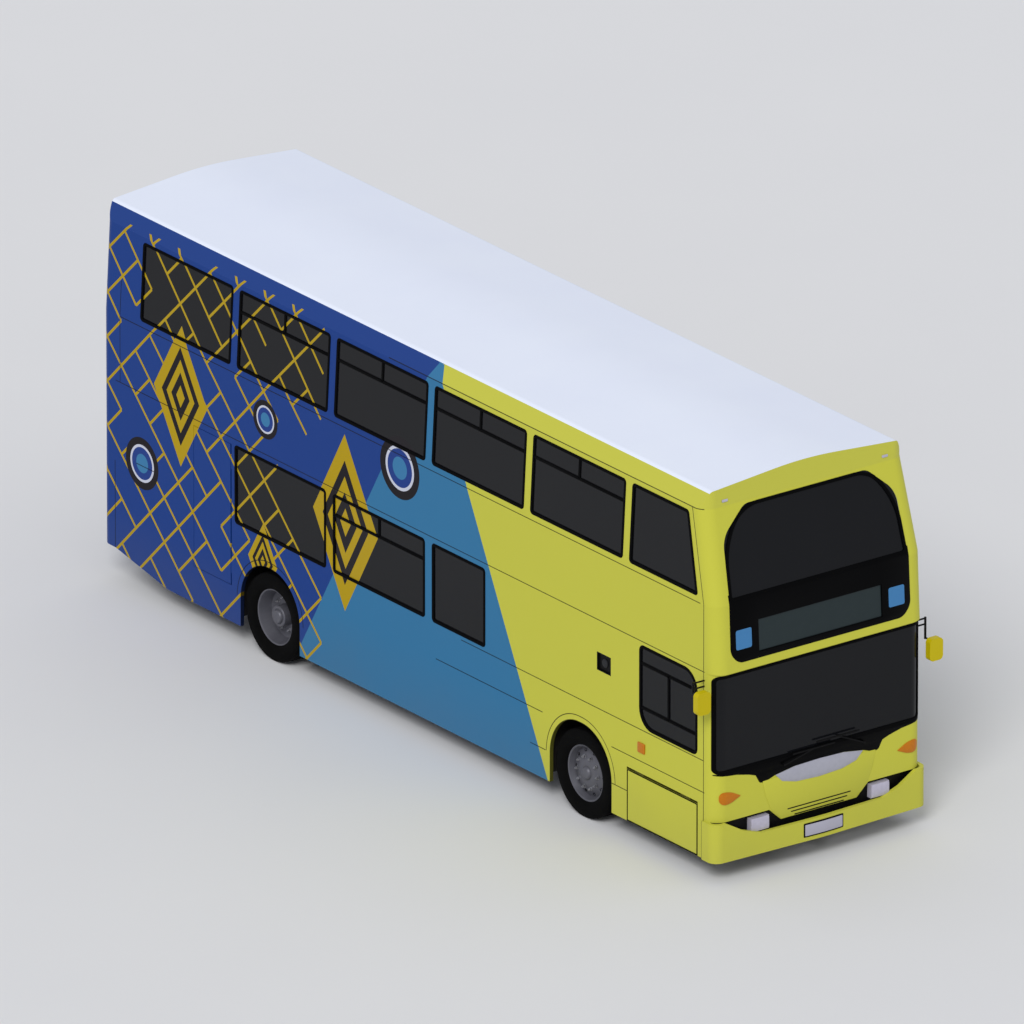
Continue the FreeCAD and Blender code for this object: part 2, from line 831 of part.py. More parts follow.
def upper_sides():
    """Both upper side walls and their panes."""
    length = FRONT_SPLIT - REAR_SPLIT
    wall = leaning_strip("upper_wall", length, FLUSH, S.wall)
    nose = Solid("upper_nose")
    nose.pad("XZ", [[(FRONT_SPLIT, S.waist_level), (FRONT_SPLIT + S.overrun, S.waist_level),
                     (FRONT_SPLIT + S.overrun, S.cantrail_level), (TOP_SPLIT, S.cantrail_level)]],
             -HALF - S.overrun, S.side_cut_depth)
    side = keep("upper_side_offside", cut("upper_side", wall, upper_window_bars("upper_holes"), nose))
    keep("upper_side_nearside", mirrored("upper_side_other", side))
    strip = leaning_strip("upper_glass_strip", length, S.glass_inset, S.glass)
    panes = common("upper_panes", strip, upper_window_bars("upper_pane_bars", S.clearance))
    rear_pane = rear_upper_pane()
    keep("glazing_upper", group("upper_glazing", panes, mirrored("upper_panes_other", panes),
                                rear_pane))


def rear_hole(label, half, bottom, top, inset=0):
    """A bar in the shape of a rear window."""
    bar = Solid(label)
    bar.pad("YZ", [rectangle(-half + inset, half - inset, bottom + inset, top - inset,
                             S.window_corner)], REAR - S.overrun, S.wall + S.overrun * 2)
    return bar


def rear_upper_pane():
    """The upper rear window's glass."""
    skin = wrapped_shell("rear_upper_glass_shell", REAR_UPPER_LEVELS, S.glass_inset,
                         S.glass_inset + S.glass)
    bar = rear_hole("rear_upper_pane_bar", S.rear_upper_window_half, S.upper_window_bottom,
                    S.upper_window_top, S.clearance)
    return common("rear_upper_pane", skin, bar)


def rear_panels():
    """The upper and lower rear panels, the engine door and the rear lamps."""
    upper = wrapped_shell("rear_upper_shell", REAR_UPPER_LEVELS, FLUSH, S.wall)
    hole = rear_hole("rear_upper_hole", S.rear_upper_window_half, S.upper_window_bottom,
                     S.upper_window_top)
    keep("rear_upper_panel", cut("rear_upper", upper, hole))
    lamps, lamp_holes = [], []
    for side in (-1, 1):
        middle = S.rear_lamp_offset * side
        for bars, depth, margin in ((lamps, S.wall, FLUSH),
                                    (lamp_holes, S.wall + S.overrun, S.clearance)):
            half = S.rear_lamp_width / 2 + margin
            bars.append(box(f"rear_lamp_{side + 1}", REAR, REAR + depth, middle - half,
                            middle + half, S.rear_lamp_bottom - margin,
                            S.rear_lamp_bottom + S.rear_lamp_height + margin))
    keep("rear_lamps", group("rear_lamp_pair", *lamps))
    lower = wrapped_shell("rear_lower_shell", REAR_LOWER_LEVELS, FLUSH, S.wall)
    window = rear_hole("rear_lower_hole", S.rear_window_half, S.rear_window_bottom,
                       S.rear_window_top)
    doorway = box("engine_doorway", REAR - S.overrun, REAR + S.wall + S.overrun,
                  -S.engine_door_half - S.flap_gap, S.engine_door_half + S.flap_gap,
                  S.engine_door_bottom - S.flap_gap, S.engine_door_top + S.hinge_gap * 2)
    pierced = cut("rear_pierced", lower, window, doorway, *lamp_holes)
    keep("rear_lower_panel", fuse("rear_lower", pierced, *ENGINE_FRAME))
    lid = box("engine_lid", REAR, REAR + S.flap_thickness, -S.engine_door_half,
              S.engine_door_half, S.engine_door_bottom, S.engine_door_top)
    keep("engine_door", fuse("engine_door_whole", lid, *ENGINE_LEAF))


def lower_glass():
    """The panes of the lower deck: offside, nearside, driver's and rear."""
    y_out = HALF - S.glass_inset - S.glass
    driver_pane = Solid("driver_pane")
    driver_pane.pad("XZ", [driver_outline(S.clearance)], -HALF + S.glass_inset, S.glass)
    panes = [
        window_bar("offside_panes", OFFSIDE_WINDOWS, S.lower_window_bottom, S.lower_window_top,
                   -HALF + S.glass_inset, S.glass, S.clearance),
        driver_pane,
        window_bar("nearside_panes", NEARSIDE_WINDOWS, S.lower_window_bottom,
                   S.lower_window_top, y_out, S.glass, S.clearance)]
    rear_pane = Solid("rear_lower_pane")
    rear_pane.pad("YZ", [rectangle(-S.rear_window_half + S.clearance, S.rear_window_half - S.clearance,
                                   S.rear_window_bottom + S.clearance,
                                   S.rear_window_top - S.clearance, S.window_corner)],
                  REAR + S.glass_inset, S.glass)
    keep("glazing_lower", group("lower_glazing", *panes, rear_pane))


def roof():
    """The domed roof with closed ends, rounded in plan to meet the end mouldings."""
    def dome(label, inset, lower):
        """The roof's volume at an inset from its skin."""
        section = Solid(label + "_section")
        edge = HALF - S.roof_edge_inset - inset
        top = S.roof_edge_level - inset
        section.pad("YZ", [[
            (-TOP_HALF + inset, lower), (TOP_HALF - inset, lower),
            (TOP_HALF - inset, S.cantrail_level),
            (edge, top, S.roof_edge_radius), (FLUSH, S.crown_level - inset, S.crown_radius),
            (-edge, top, S.roof_edge_radius), (-TOP_HALF + inset, S.cantrail_level)]],
            REAR, TOP_FACE - REAR)
        plan = Solid(label + "_plan")
        rear_radius, front_radius = S.rear_corner - inset, S.front_corner - inset
        low, high, wide = REAR + inset, TOP_FACE - inset, TOP_HALF - inset
        plan.pad("XY", [[(low, -wide, rear_radius), (high, -wide, front_radius),
                         (high, wide, front_radius), (low, wide, rear_radius)]],
                 S.cantrail_level - S.overrun, S.roof_cut_depth)
        return common(label, section, plan)

    outer = dome("roof_outer", FLUSH, S.cantrail_level - S.overrun / 2)
    inner = dome("roof_inner", S.wall, S.cantrail_level - S.overrun)
    below = box("roof_below", REAR - S.overrun, FRONT, -HALF, HALF,
                S.cantrail_level - S.overrun, S.cantrail_level)
    keep("roof_panel", cut("roof", outer, inner, below))


def screen_outline(inset=0):
    """The edge of the upper screen: straight sides, then cut back at the shoulders."""
    low, high = S.upper_screen_half - inset, S.upper_screen_top_half - inset
    shoulder = S.upper_screen_shoulder_half - inset
    bottom, top = S.upper_screen_bottom + inset, S.upper_screen_top - inset
    return [(-low, bottom, S.screen_corner), (low, bottom, S.screen_corner),
            (shoulder, S.upper_screen_shoulder, S.screen_shoulder_radius),
            (high, top, S.screen_top_radius), (-high, top, S.screen_top_radius),
            (-shoulder, S.upper_screen_shoulder, S.screen_shoulder_radius)]


def front_bar(label, outline):
    """A bar along the bus in the shape of an opening of the front."""
    bar = Solid(label)
    bar.pad("YZ", [outline], TOP_SPLIT, FRONT - TOP_SPLIT + S.overrun)
    return bar


def front_mouldings():
    """The two front mouldings, both screens, and the destination display."""
    upper = wrapped_shell("front_upper_shell", FRONT_UPPER_LEVELS, FLUSH, S.wall)
    display = rectangle(-S.display_half, S.display_half, S.display_bottom, S.display_top)
    keep("front_upper_moulding", cut("front_upper", upper,
                                     front_bar("upper_screen_hole", screen_outline()),
                                     front_bar("display_hole", display)))
    glass_shell = wrapped_shell("upper_glass_shell", FRONT_UPPER_LEVELS, S.glass_inset,
                                S.glass_inset + S.glass)
    keep("windscreen_upper", common("upper_screen", glass_shell,
                                    front_bar("upper_screen_bar", screen_outline(S.clearance))))
    display_shell = wrapped_shell("display_shell", FRONT_UPPER_LEVELS, S.glass_inset,
                                  S.glass_inset + S.glass)
    pane = rectangle(-S.display_half + S.clearance, S.display_half - S.clearance,
                     S.display_bottom + S.clearance, S.display_top - S.clearance)
    keep("destination_screen", common("display_pane", display_shell, front_bar("display_bar", pane)))

    lower = wrapped_shell("front_lower_shell", FRONT_LOWER_LEVELS, FLUSH, S.wall)
    opening = rectangle(-S.screen_half, S.screen_half, S.screen_bottom, S.screen_top,
                        S.screen_corner)
    flanks = []
    for side in (-1, 1):
        flank = Solid(f"shield_flank_{side + 1}")
        outline = [(S.shield_bottom_half * side, S.shield_bottom),
                   (HALF * side, S.shield_bottom), (HALF * side, S.bumper_top),
                   (S.shield_top_half * side, S.bumper_top)]
        flank.pad("YZ", [outline if side > 0 else outline[::-1]],
                  FRONT_SPLIT - S.overrun, FRONT - FRONT_SPLIT + S.overrun)
        flanks.append(flank)
    keep("front_lower_moulding", cut("front_lower", lower, front_bar("screen_hole", opening), *flanks))
    lower_glass_shell = wrapped_shell("lower_glass_shell", FRONT_LOWER_LEVELS, S.glass_inset,
                                      S.glass_inset + S.glass)
    edge = S.screen_half - S.clearance
    glass = rectangle(-edge, edge, S.screen_bottom + S.clearance, S.screen_top - S.clearance,
                      S.screen_corner)
    keep("windscreen_lower", common("lower_screen", lower_glass_shell,
                                    front_bar("lower_screen_bar", glass)))

    slope = (FACE - WAIST_FACE) / (S.waist_level - S.mid_level)
    low_face = FACE - S.wall - (S.display_box_bottom - S.mid_level) * slope
    high_face = FACE - S.wall - (S.display_box_top - S.mid_level) * slope
    case = Solid("destination_box")
    case.pad("XZ", [[(low_face - S.display_box_depth, S.display_box_bottom),
                     (low_face, S.display_box_bottom), (high_face, S.display_box_top),
                     (low_face - S.display_box_depth, S.display_box_top)]],
             -S.display_box_half, S.display_box_half * 2)
    keep("destination_box", case)


def bumper_section(inset, open_run):
    """A plan section of the bumper, crowned across its face."""
    wide = S.bumper_width / 2 - inset
    corner = FRONT - S.bumper_crown - inset
    back = FRONT_SPLIT - open_run if isinstance(open_run, Size) else FRONT_SPLIT
    radius = S.bumper_corner - inset
    return [(back, -wide), (corner, -wide, radius),
            (FRONT - inset, FLUSH, S.bumper_crown_radius),
            (corner, wide, radius), (back, wide)]


def bumper():
    """The front bumper with its wide intake, the black panel behind it and the headlamps."""
    shell = Solid("bumper_shell")
    depth = S.bumper_top - S.skirt_bottom
    shell.pad("XY", [bumper_section(FLUSH, 0)], S.skirt_bottom, depth)
    shell.pocket("XY", [bumper_section(S.wall, S.overrun)], S.skirt_bottom, depth)
    smile = Solid("intake_shape")
    corner_half = S.lamp_offset + S.lamp_width
    lamp_low = S.lamp_level - S.lamp_height / 2
    smile.pad("YZ", [[
        (-S.intake_half, S.bumper_top + S.overrun), (-S.intake_half, S.bumper_top),
        (-corner_half, lamp_low + S.intake_rise), (-S.lamp_offset, S.intake_low),
        (S.lamp_offset, S.intake_low),
        (corner_half, lamp_low + S.intake_rise), (S.intake_half, S.bumper_top),
        (S.intake_half, S.bumper_top + S.overrun)]],
        FRONT_SPLIT, FRONT - FRONT_SPLIT + S.overrun)
    panel_face = LOWER_FACE - S.wall
    panel = box("intake_panel", panel_face - S.intake_depth, panel_face, -S.intake_half,
                S.intake_half, S.intake_low - S.intake_rise, S.bumper_top)
    keep("intake_panel", panel)
    lamps, seats = [], []
    for side in (-1, 1):
        middle = S.lamp_offset * side
        for bars, margin in ((lamps, FLUSH), (seats, S.clearance)):
            across, up = S.lamp_width / 2 + margin, S.lamp_height / 2 + margin
            bars.append(box(f"headlamp_{side + 1}", panel_face, panel_face + S.lamp_depth,
                            middle - across, middle + across, S.lamp_level - up,
                            S.lamp_level + up))
    keep("headlamps", group("headlamp_pair", *lamps))
    keep("front_bumper", cut("bumper", shell, smile, *seats))


def indicators():
    """The front indicators, thin lenses that wrap round the corners of the lower moulding."""
    skin = wrapped_shell("indicator_shell", FRONT_LOWER_LEVELS, -S.lens, FLUSH)
    lenses = []
    for side in (-1, 1):
        bar = Solid(f"indicator_bar_{side + 1}")
        drop = [(S.indicator_inner * side, S.indicator_tip, S.indicator_corner),
                (S.indicator_middle * side, S.indicator_bottom, S.indicator_corner),
                (S.indicator_outer * side, S.indicator_end, S.indicator_corner),
                (S.indicator_middle * side, S.indicator_top, S.indicator_corner)]
        bar.pad("YZ", [drop if side > 0 else drop[::-1]],
                FRONT_SPLIT, FRONT - FRONT_SPLIT + S.overrun)
        lenses.append(common(f"indicator_{side + 1}", skin, bar))
    keep("front_indicators", group("indicator_pair", *lenses))


def wiper_pair():
    """Two parked wipers: a spindle on the moulding, an arm, and a blade across the screen's foot."""
    pieces = []
    front = LOWER_FACE + S.wiper_stand
    for tag, spindle_y, blade_y, level in (
            ("nearside_wiper", S.wiper_near_spindle, S.wiper_near_blade, S.wiper_near_level),
            ("offside_wiper", -S.wiper_off_spindle, -S.wiper_off_blade, S.wiper_off_level)):
        spindle = rod(tag + "_spindle", "X", LOWER_FACE, spindle_y, S.wiper_spindle,
                      S.wiper_stand + S.wiper_width, S.wiper_spindle_radius)
        outline = [(blade_y, level), (spindle_y, S.wiper_spindle - S.wiper_width / 2),
                   (spindle_y, S.wiper_spindle + S.wiper_width / 2),
                   (blade_y, level + S.wiper_width)]
        arm = Solid(tag + "_arm")
        arm.pad("YZ", [outline], front, S.wiper_width)
        blade = box(tag + "_blade", front, front + S.wiper_width, blade_y - S.wiper_blade_half,
                    blade_y + S.wiper_blade_half, level, level + S.wiper_width)
        pieces.append(fuse(tag, spindle, arm, blade))
    keep("wipers", group("wiper_group", *pieces))


def mirror(label, drop, side, rods):
    """A mirror head on rods from the side of the front moulding."""
    root_x = FRONT - S.mirror_setback
    head_x = root_x + S.mirror_forward
    parts = []
    y_start = HALF if side > 0 else -S.mirror_reach
    for index in range(rods):
        level = S.mirror_rod_level - S.mirror_rod_spread * index
        parts.append(rod(f"{label}_rod_{index}", "Y", root_x, y_start, level,
                         S.mirror_reach - HALF, S.mirror_rod_radius))
    top_z = S.mirror_rod_level
    low_z = S.mirror_rod_level - S.mirror_rod_spread
    parts.append(rod(label + "_post", "Z", root_x, S.mirror_reach * side, low_z - drop,
                     top_z - low_z + drop + S.mirror_post_radius, S.mirror_post_radius))
    parts.append(rod(label + "_arm", "X", root_x, S.mirror_reach * side, low_z - drop + S.mirror_post_radius,
                     S.mirror_forward, S.mirror_rod_radius))
    head = Solid(label + "_head")
    middle = S.mirror_reach * side
    head.pad("YZ", [rectangle(middle - S.mirror_half_width, middle + S.mirror_half_width,
                              low_z - drop - S.mirror_height + S.mirror_rod_spread,
                              low_z - drop + S.mirror_rod_spread, S.window_corner)],
             head_x - S.mirror_depth / 2, S.mirror_depth)
    parts.append(head)
    return fuse(label, *parts)


def mirrors():
    """The yellow mirrors: two rods and a long drop on the nearside, a short arm on the offside."""
    keep("mirror_nearside", mirror("near_mirror", S.mirror_drop_nearside, 1, 2))
    keep("mirror_offside", mirror("off_mirror", S.mirror_drop_offside, -1, 2))


def wheel_boxes():
    """Hollow boxes over the wheels, open below and towards the wheel."""
    boxes = []
    for tag, axle, width in (("front", FRONT_AXLE, S.front_box_width),
                             ("rear", REAR_AXLE, S.rear_box_width)):
        low, high = axle - S.wheel_box_length / 2, axle + S.wheel_box_length / 2
        shell = box(tag + "_box", low, high, INNER - width, INNER, RAIL_TOP, S.wheel_box_top)
        hollow = box(tag + "_hollow", low + S.wheel_box_wall, high - S.wheel_box_wall,
                     INNER - width + S.wheel_box_wall, INNER + S.overrun,
                     RAIL_TOP - S.overrun, S.wheel_box_top - S.wheel_box_wall)
        passage_half = S.axle_tube_radius + S.axle_gap
        passage = box(tag + "_axle_passage", axle - passage_half, axle + passage_half,
                      INNER - width - S.overrun, INNER - width + S.overrun,
                      RAIL_TOP - S.overrun, S.tyre_radius + passage_half)
        near = cut(tag + "_wheel_box", shell, hollow, passage)
        boxes += [near, mirrored(tag + "_wheel_box_other", near)]
    keep("wheel_boxes", group("wheel_box_group", *boxes))


def box_voids(tag):
    """Bars where the wheel boxes pass through a floor."""
    voids = []
    for name, axle, width in (("front", FRONT_AXLE, S.front_box_width),
                              ("rear", REAR_AXLE, S.rear_box_width)):
        low, high = axle - S.wheel_box_length / 2, axle + S.wheel_box_length / 2
        for side in (-1, 1):
            ends = (INNER - width, INNER + S.overrun)
            if side < 0:
                ends = (-INNER - S.overrun, -INNER + width)
            voids.append(box(f"{tag}_{name}_{side + 1}", low, high, *ends,
                             RAIL_BOTTOM - S.overrun, S.wheel_box_top))
    return voids


def lower_floor():
    """The lower floor: low from the step forward, raised over the rear axle, a shelf at the tail."""
    step = REAR + S.rear_floor_length
    bay = REAR + S.engine_bay_length
    tail = REAR + S.rear_corner
    thick = S.floor_thickness
    profile = [
        (tail, S.engine_shelf_top - thick), (bay - thick, S.engine_shelf_top - thick),
        (bay - thick, S.rear_floor_top - thick), (step - thick, S.rear_floor_top - thick),
        (step - thick, RAIL_TOP), (FRONT_SPLIT, RAIL_TOP), (FRONT_SPLIT, S.floor_top),
        (step, S.floor_top), (step, S.rear_floor_top), (bay, S.rear_floor_top),
        (bay, S.engine_shelf_top), (tail, S.engine_shelf_top)]
    slab = Solid("floor_slab")
    slab.pad("XZ", [profile], -INNER, INNER * 2)
    keep("lower_floor", cut("floor", slab, *box_voids("floor_void")))


def chassis():
    """The underframe: two rails with a cradle at the tail, cross members and a towing jaw each end."""
    rails = []
    tail = REAR + S.wall
    end = FRONT_SPLIT
    for side in (-1, 1):
        rail = Solid(f"rail_{side + 1}")
        middle = S.rail_offset * side
        rail.pad("XZ", [[
            (tail, S.tail_bottom), (REAR + S.tail_run, RAIL_BOTTOM), (end, RAIL_BOTTOM),
            (end, RAIL_TOP), (REAR + S.tail_run, RAIL_TOP), (REAR + S.tail_run, S.cradle_top),
            (tail, S.cradle_top)]], middle - S.rail_width / 2, S.rail_width)
        rails.append(rail)
    half = S.rail_offset - S.rail_width / 2
    wide = S.cross_member_width
    members = []
    stations = [REAR_AXLE - S.wheel_box_length, REAR_AXLE + S.wheel_box_length,
                (REAR_AXLE + FRONT_AXLE) / 2, FRONT_AXLE - S.wheel_box_length,
                FRONT_AXLE + S.wheel_box_length]
    for index, station in enumerate(stations):
        members.append(box(f"member_{index}", station - wide / 2, station + wide / 2, -half, half,
                           RAIL_BOTTOM, RAIL_TOP))
    members.append(box("member_front", end - wide, end, -half, half, RAIL_BOTTOM, RAIL_TOP))
    members.append(box("member_rear", tail, tail + wide, -half, half, S.tail_bottom, S.cradle_top))
    front_jaw = box("front_jaw", end, end + S.tow_jaw_reach, -S.tow_jaw_half, S.tow_jaw_half,
                    RAIL_BOTTOM, RAIL_TOP)
    rear_jaw = box("rear_jaw", tail + wide, tail + wide + S.tow_jaw_reach, -S.tow_jaw_half,
                   S.tow_jaw_half, S.tail_bottom, S.tail_bottom + S.rail_depth)
    bores = []
    for tag, place, level in (
            ("front", end + S.tow_jaw_reach - S.tow_bore_inset, RAIL_BOTTOM),
            ("rear", tail + wide + S.tow_jaw_reach - S.tow_bore_inset, S.tail_bottom)):
        bores.append(rod(tag + "_bore", "Z", place, FLUSH, level - S.overrun,
                         S.rail_depth + S.overrun * 2, S.tow_bore_radius))
    keep("chassis_frame", cut("chassis", fuse("chassis_whole", *rails, *members, front_jaw, rear_jaw),
                              *bores))


def upper_floor():
    """The upper floor, with the stairwell and corners rounded like the tail."""
    slab = Solid("upper_slab")
    tail, nose = REAR + S.wall, FRONT_SPLIT
    outline = [(tail, -INNER, S.rear_corner - S.wall), (nose, -INNER), (nose, INNER),
               (tail, INNER, S.rear_corner - S.wall)]
    slab.pad("XY", [outline], S.mid_level, S.upper_floor_thickness)
    well = box("stairwell", STAIR_FOOT + S.stair_headroom_start, STAIR_TOP, -INNER - S.overrun,
               -STAIR_INNER, S.mid_level - S.overrun, UPPER_FLOOR_TOP + S.overrun)
    keep("upper_floor", cut("upper_floor_whole", slab, well))


def staircase():
    """A straight flight along the offside, folded from one plate, that climbs forwards."""
    rise = (UPPER_FLOOR_TOP - S.floor_top) / S.stair_steps
    steps = SIZES["stair_steps"]
    top_side, low_side = [], []
    for index in range(steps):
        place = STAIR_FOOT + S.stair_going * index
        top_side += [(place, S.floor_top + rise * index), (place, S.floor_top + rise * (index + 1))]
        back = place + S.stair_plate
        low_side += [(back, S.floor_top + rise * index - (S.stair_plate if index else 0)),
                     (back, S.floor_top + rise * (index + 1) - S.stair_plate)]
    low_side[-1] = (STAIR_TOP, UPPER_FLOOR_TOP)
    flight = Solid("staircase")
    flight.pad("XZ", [top_side + low_side[::-1]], -INNER, S.stair_width)
    keep("staircase", flight)


def seat_outline(place, floor):
    """The side view of a seat on its pedestal, facing forwards."""
    under = floor + S.seat_height - S.cushion
    seat_top = floor + S.seat_height
    middle = place + S.seat_depth / 2
    return [
        (middle - S.pedestal / 2, floor), (middle + S.pedestal / 2, floor),
        (middle + S.pedestal / 2, under), (place + S.seat_depth, under),
        (place + S.seat_depth, seat_top), (place + S.back_thickness, seat_top),
        (place + S.back_thickness - S.back_lean, floor + S.back_height),
        (place - S.back_lean, floor + S.back_height), (place, under),
        (middle - S.pedestal / 2, under)]


def seat_row(label, start, end, count, side, floor, width=None):
    """A row of double seats along one side, spread evenly between two places."""
    width = width or S.seat_width
    pitch = (end - start) / count
    row = Solid(label)
    edge = INNER - S.seat_side_gap
    y_start = edge - width if side > 0 else -edge
    first = row.pad("XZ", [seat_outline(start + S.back_lean, floor)], y_start, width)
    if int(number(count)) > 1:
        row.repeat(first, "X", pitch, count)
    return row


def passenger_seats():
    """The double seats of both decks, and the bench over the engine."""
    upper_start, upper_end = REAR + S.upper_seat_start, FRONT - S.upper_seat_end
    well_start = STAIR_FOOT + S.stair_headroom_start
    keep("upper_seats", group(
        "upper_seat_group",
        seat_row("upper_near", upper_start, upper_end, S.upper_seat_rows, 1, UPPER_FLOOR_TOP),
        seat_row("upper_off", upper_start, well_start, S.upper_stair_rows, -1, UPPER_FLOOR_TOP),
        seat_row("upper_front", STAIR_TOP + S.back_lean, upper_end, S.upper_front_rows, -1,
                 UPPER_FLOOR_TOP)))
    low_start = REAR + S.rear_floor_length + S.seat_wheel_gap
    low_end = FRONT_AXLE - S.wheel_box_length / 2 - S.seat_wheel_gap
    keep("lower_seats", group(
        "lower_seat_group",
        seat_row("lower_near", low_start, low_end, S.lower_seat_rows, 1, S.floor_top),
        seat_row("lower_off", low_start, STAIR_FOOT - S.seat_wheel_gap, S.lower_stair_rows, -1,
                 S.floor_top),
        seat_row("bench", REAR + S.rear_wrap, REAR + S.engine_bay_length, S.bench_rows, -1,
                 S.engine_shelf_top, (INNER - S.seat_side_gap) * 2)))


def cab():
    """The driver's partition and dash, with the seat and the steering wheel on its column."""
    wall_x = FRONT_SPLIT - S.partition_setback
    partition = box("partition", wall_x, wall_x + S.partition, -INNER, -S.cab_side, S.floor_top,
                    S.mid_level)
    side = box("cab_side", wall_x, wall_x + S.cab_side_length, -S.cab_side - S.partition,
               -S.cab_side, S.floor_top, S.cab_half_top)
    dash = Solid("dash")
    nose = FRONT_SPLIT
    dash.pad("XZ", [[(nose - S.dash_depth / 2, S.floor_top), (nose, S.floor_top),
                     (nose, S.dash_top), (nose - S.dash_depth, S.dash_top),
                     (nose - S.dash_depth, S.dash_top - S.dash_depth / 2)]],
             -INNER, INNER - S.cab_side)
    keep("driver_cab", group("cab_group", fuse("cab_walls", partition, side), dash))
    seat = Solid("driver_seat")
    middle = (INNER + S.cab_side) / 2
    seat.pad("XZ", [seat_outline(FRONT_SPLIT - S.driver_seat_setback, S.floor_top)],
             -middle - S.driver_seat_width / 2, S.driver_seat_width)
    keep("driver_seat", seat)
    column_x = FRONT_SPLIT - S.steering_setback
    column = rod("column", "Z", column_x, -middle, S.floor_top, S.steering_level - S.floor_top,
                 S.column_radius)
    low = S.steering_level - S.steering_tube
    ring = cut("steering_ring",
               rod("ring_outside", "Z", column_x, -middle, low, S.steering_tube * 2,
                   S.steering_radius + S.steering_tube),
               rod("ring_inside", "Z", column_x, -middle, low, S.steering_tube * 2,
                   S.steering_radius - S.steering_tube))
    spoke = box("spoke", column_x - S.steering_radius, column_x + S.steering_radius,
                -middle - S.steering_tube, -middle + S.steering_tube,
                S.steering_level - S.steering_tube / 2, S.steering_level + S.steering_tube / 2)
    keep("steering_wheel", fuse("steering", column, ring, spoke))


def grab_poles():
    """Poles from floor to ceiling along the lower aisle."""
    start = REAR + S.rear_floor_length + S.seat_wheel_gap
    end = DOOR_REAR
    row = []
    for index in range(SIZES["pole_count"]):
        place = start + (end - start) * index / (S.pole_count - 1)
        side = 1 if index % 2 else -1
        row.append(rod(f"pole_{index}", "Z", place, S.pole_offset * side, S.floor_top,
                       S.mid_level - S.floor_top, S.pole_radius))
    keep("grab_poles", group("pole_group", *row))


def engine():
    """The engine as one block on the cradle of the underframe."""
    start = REAR + S.engine_gap
    block = box("engine_block", start, REAR + S.engine_bay_length - S.engine_gap,
                -S.engine_half_width, S.engine_half_width, S.cradle_top,
                S.cradle_top + S.engine_height)
    keep("engine_block", block)


def tyre_outline(middle):
    """The section of a tyre, with Y across from its middle plane."""
    wide, seat = S.tyre_width / 2, S.rim_radius + S.clearance
    return [(middle - wide, seat), (middle + wide, seat), (middle + wide, S.tyre_radius),
            (middle - wide, S.tyre_radius)]


def wheels():
    """Rims and tyres: single in front, twin at the rear on one rim."""
    centre = FLUSH
    bead = S.bead_width / 2
    inside = S.rim_radius - S.rim_thickness
    bore = S.stub_radius + S.clearance
    rear_bore = S.rear_stub_radius + S.clearance
    front_rim = [
        (-bead, S.rim_radius), (-bead, inside), (S.front_disc_offset - S.disc_thickness, inside),
        (S.front_hub_offset - S.disc_thickness, S.hub_radius), (-S.hub_back, S.hub_radius),
        (-S.hub_back, bore), (S.front_hub_offset, bore), (S.front_hub_offset, S.hub_radius),
        (S.front_disc_offset, inside), (bead, inside), (bead, S.rim_radius)]
    inner_edge = -S.twin_spacing - bead
    rear_rim = [
        (inner_edge, S.rim_radius), (inner_edge, rear_bore), (S.rear_hub_offset, rear_bore),
        (S.rear_hub_offset, S.hub_radius), (S.rear_disc_offset, S.hub_radius),
        (S.rear_disc_offset, inside), (bead, inside), (bead, S.rim_radius)]
    for tag, axle, rim_outline, middles in (
            ("front", FRONT_AXLE, front_rim, [centre]),
            ("rear", REAR_AXLE, rear_rim, [centre, -S.twin_spacing])):
        rim = Solid(tag + "_rim")
        rim.turn(rim_outline)
        rim.place(axle, WHEEL_CENTRE, S.tyre_radius)
        keep(tag + "_rim_left", rim)
        keep(tag + "_rim_right", mirrored(tag + "_rim_other", rim))
        tyres = []
        for index, middle in enumerate(middles):
            tyre = Solid(f"{tag}_tyre_{index}")
            tyre.turn(tyre_outline(middle))
            tyres.append(tyre.place(axle, WHEEL_CENTRE, S.tyre_radius))
        whole = tyres[0] if len(tyres) == 1 else group(tag + "_tyres", *tyres)
        plural = "tyre" if len(tyres) == 1 else "tyres"
        keep(f"{tag}_{plural}_left", whole)
        keep(f"{tag}_{plural}_right", mirrored(tag + "_tyres_other", whole))


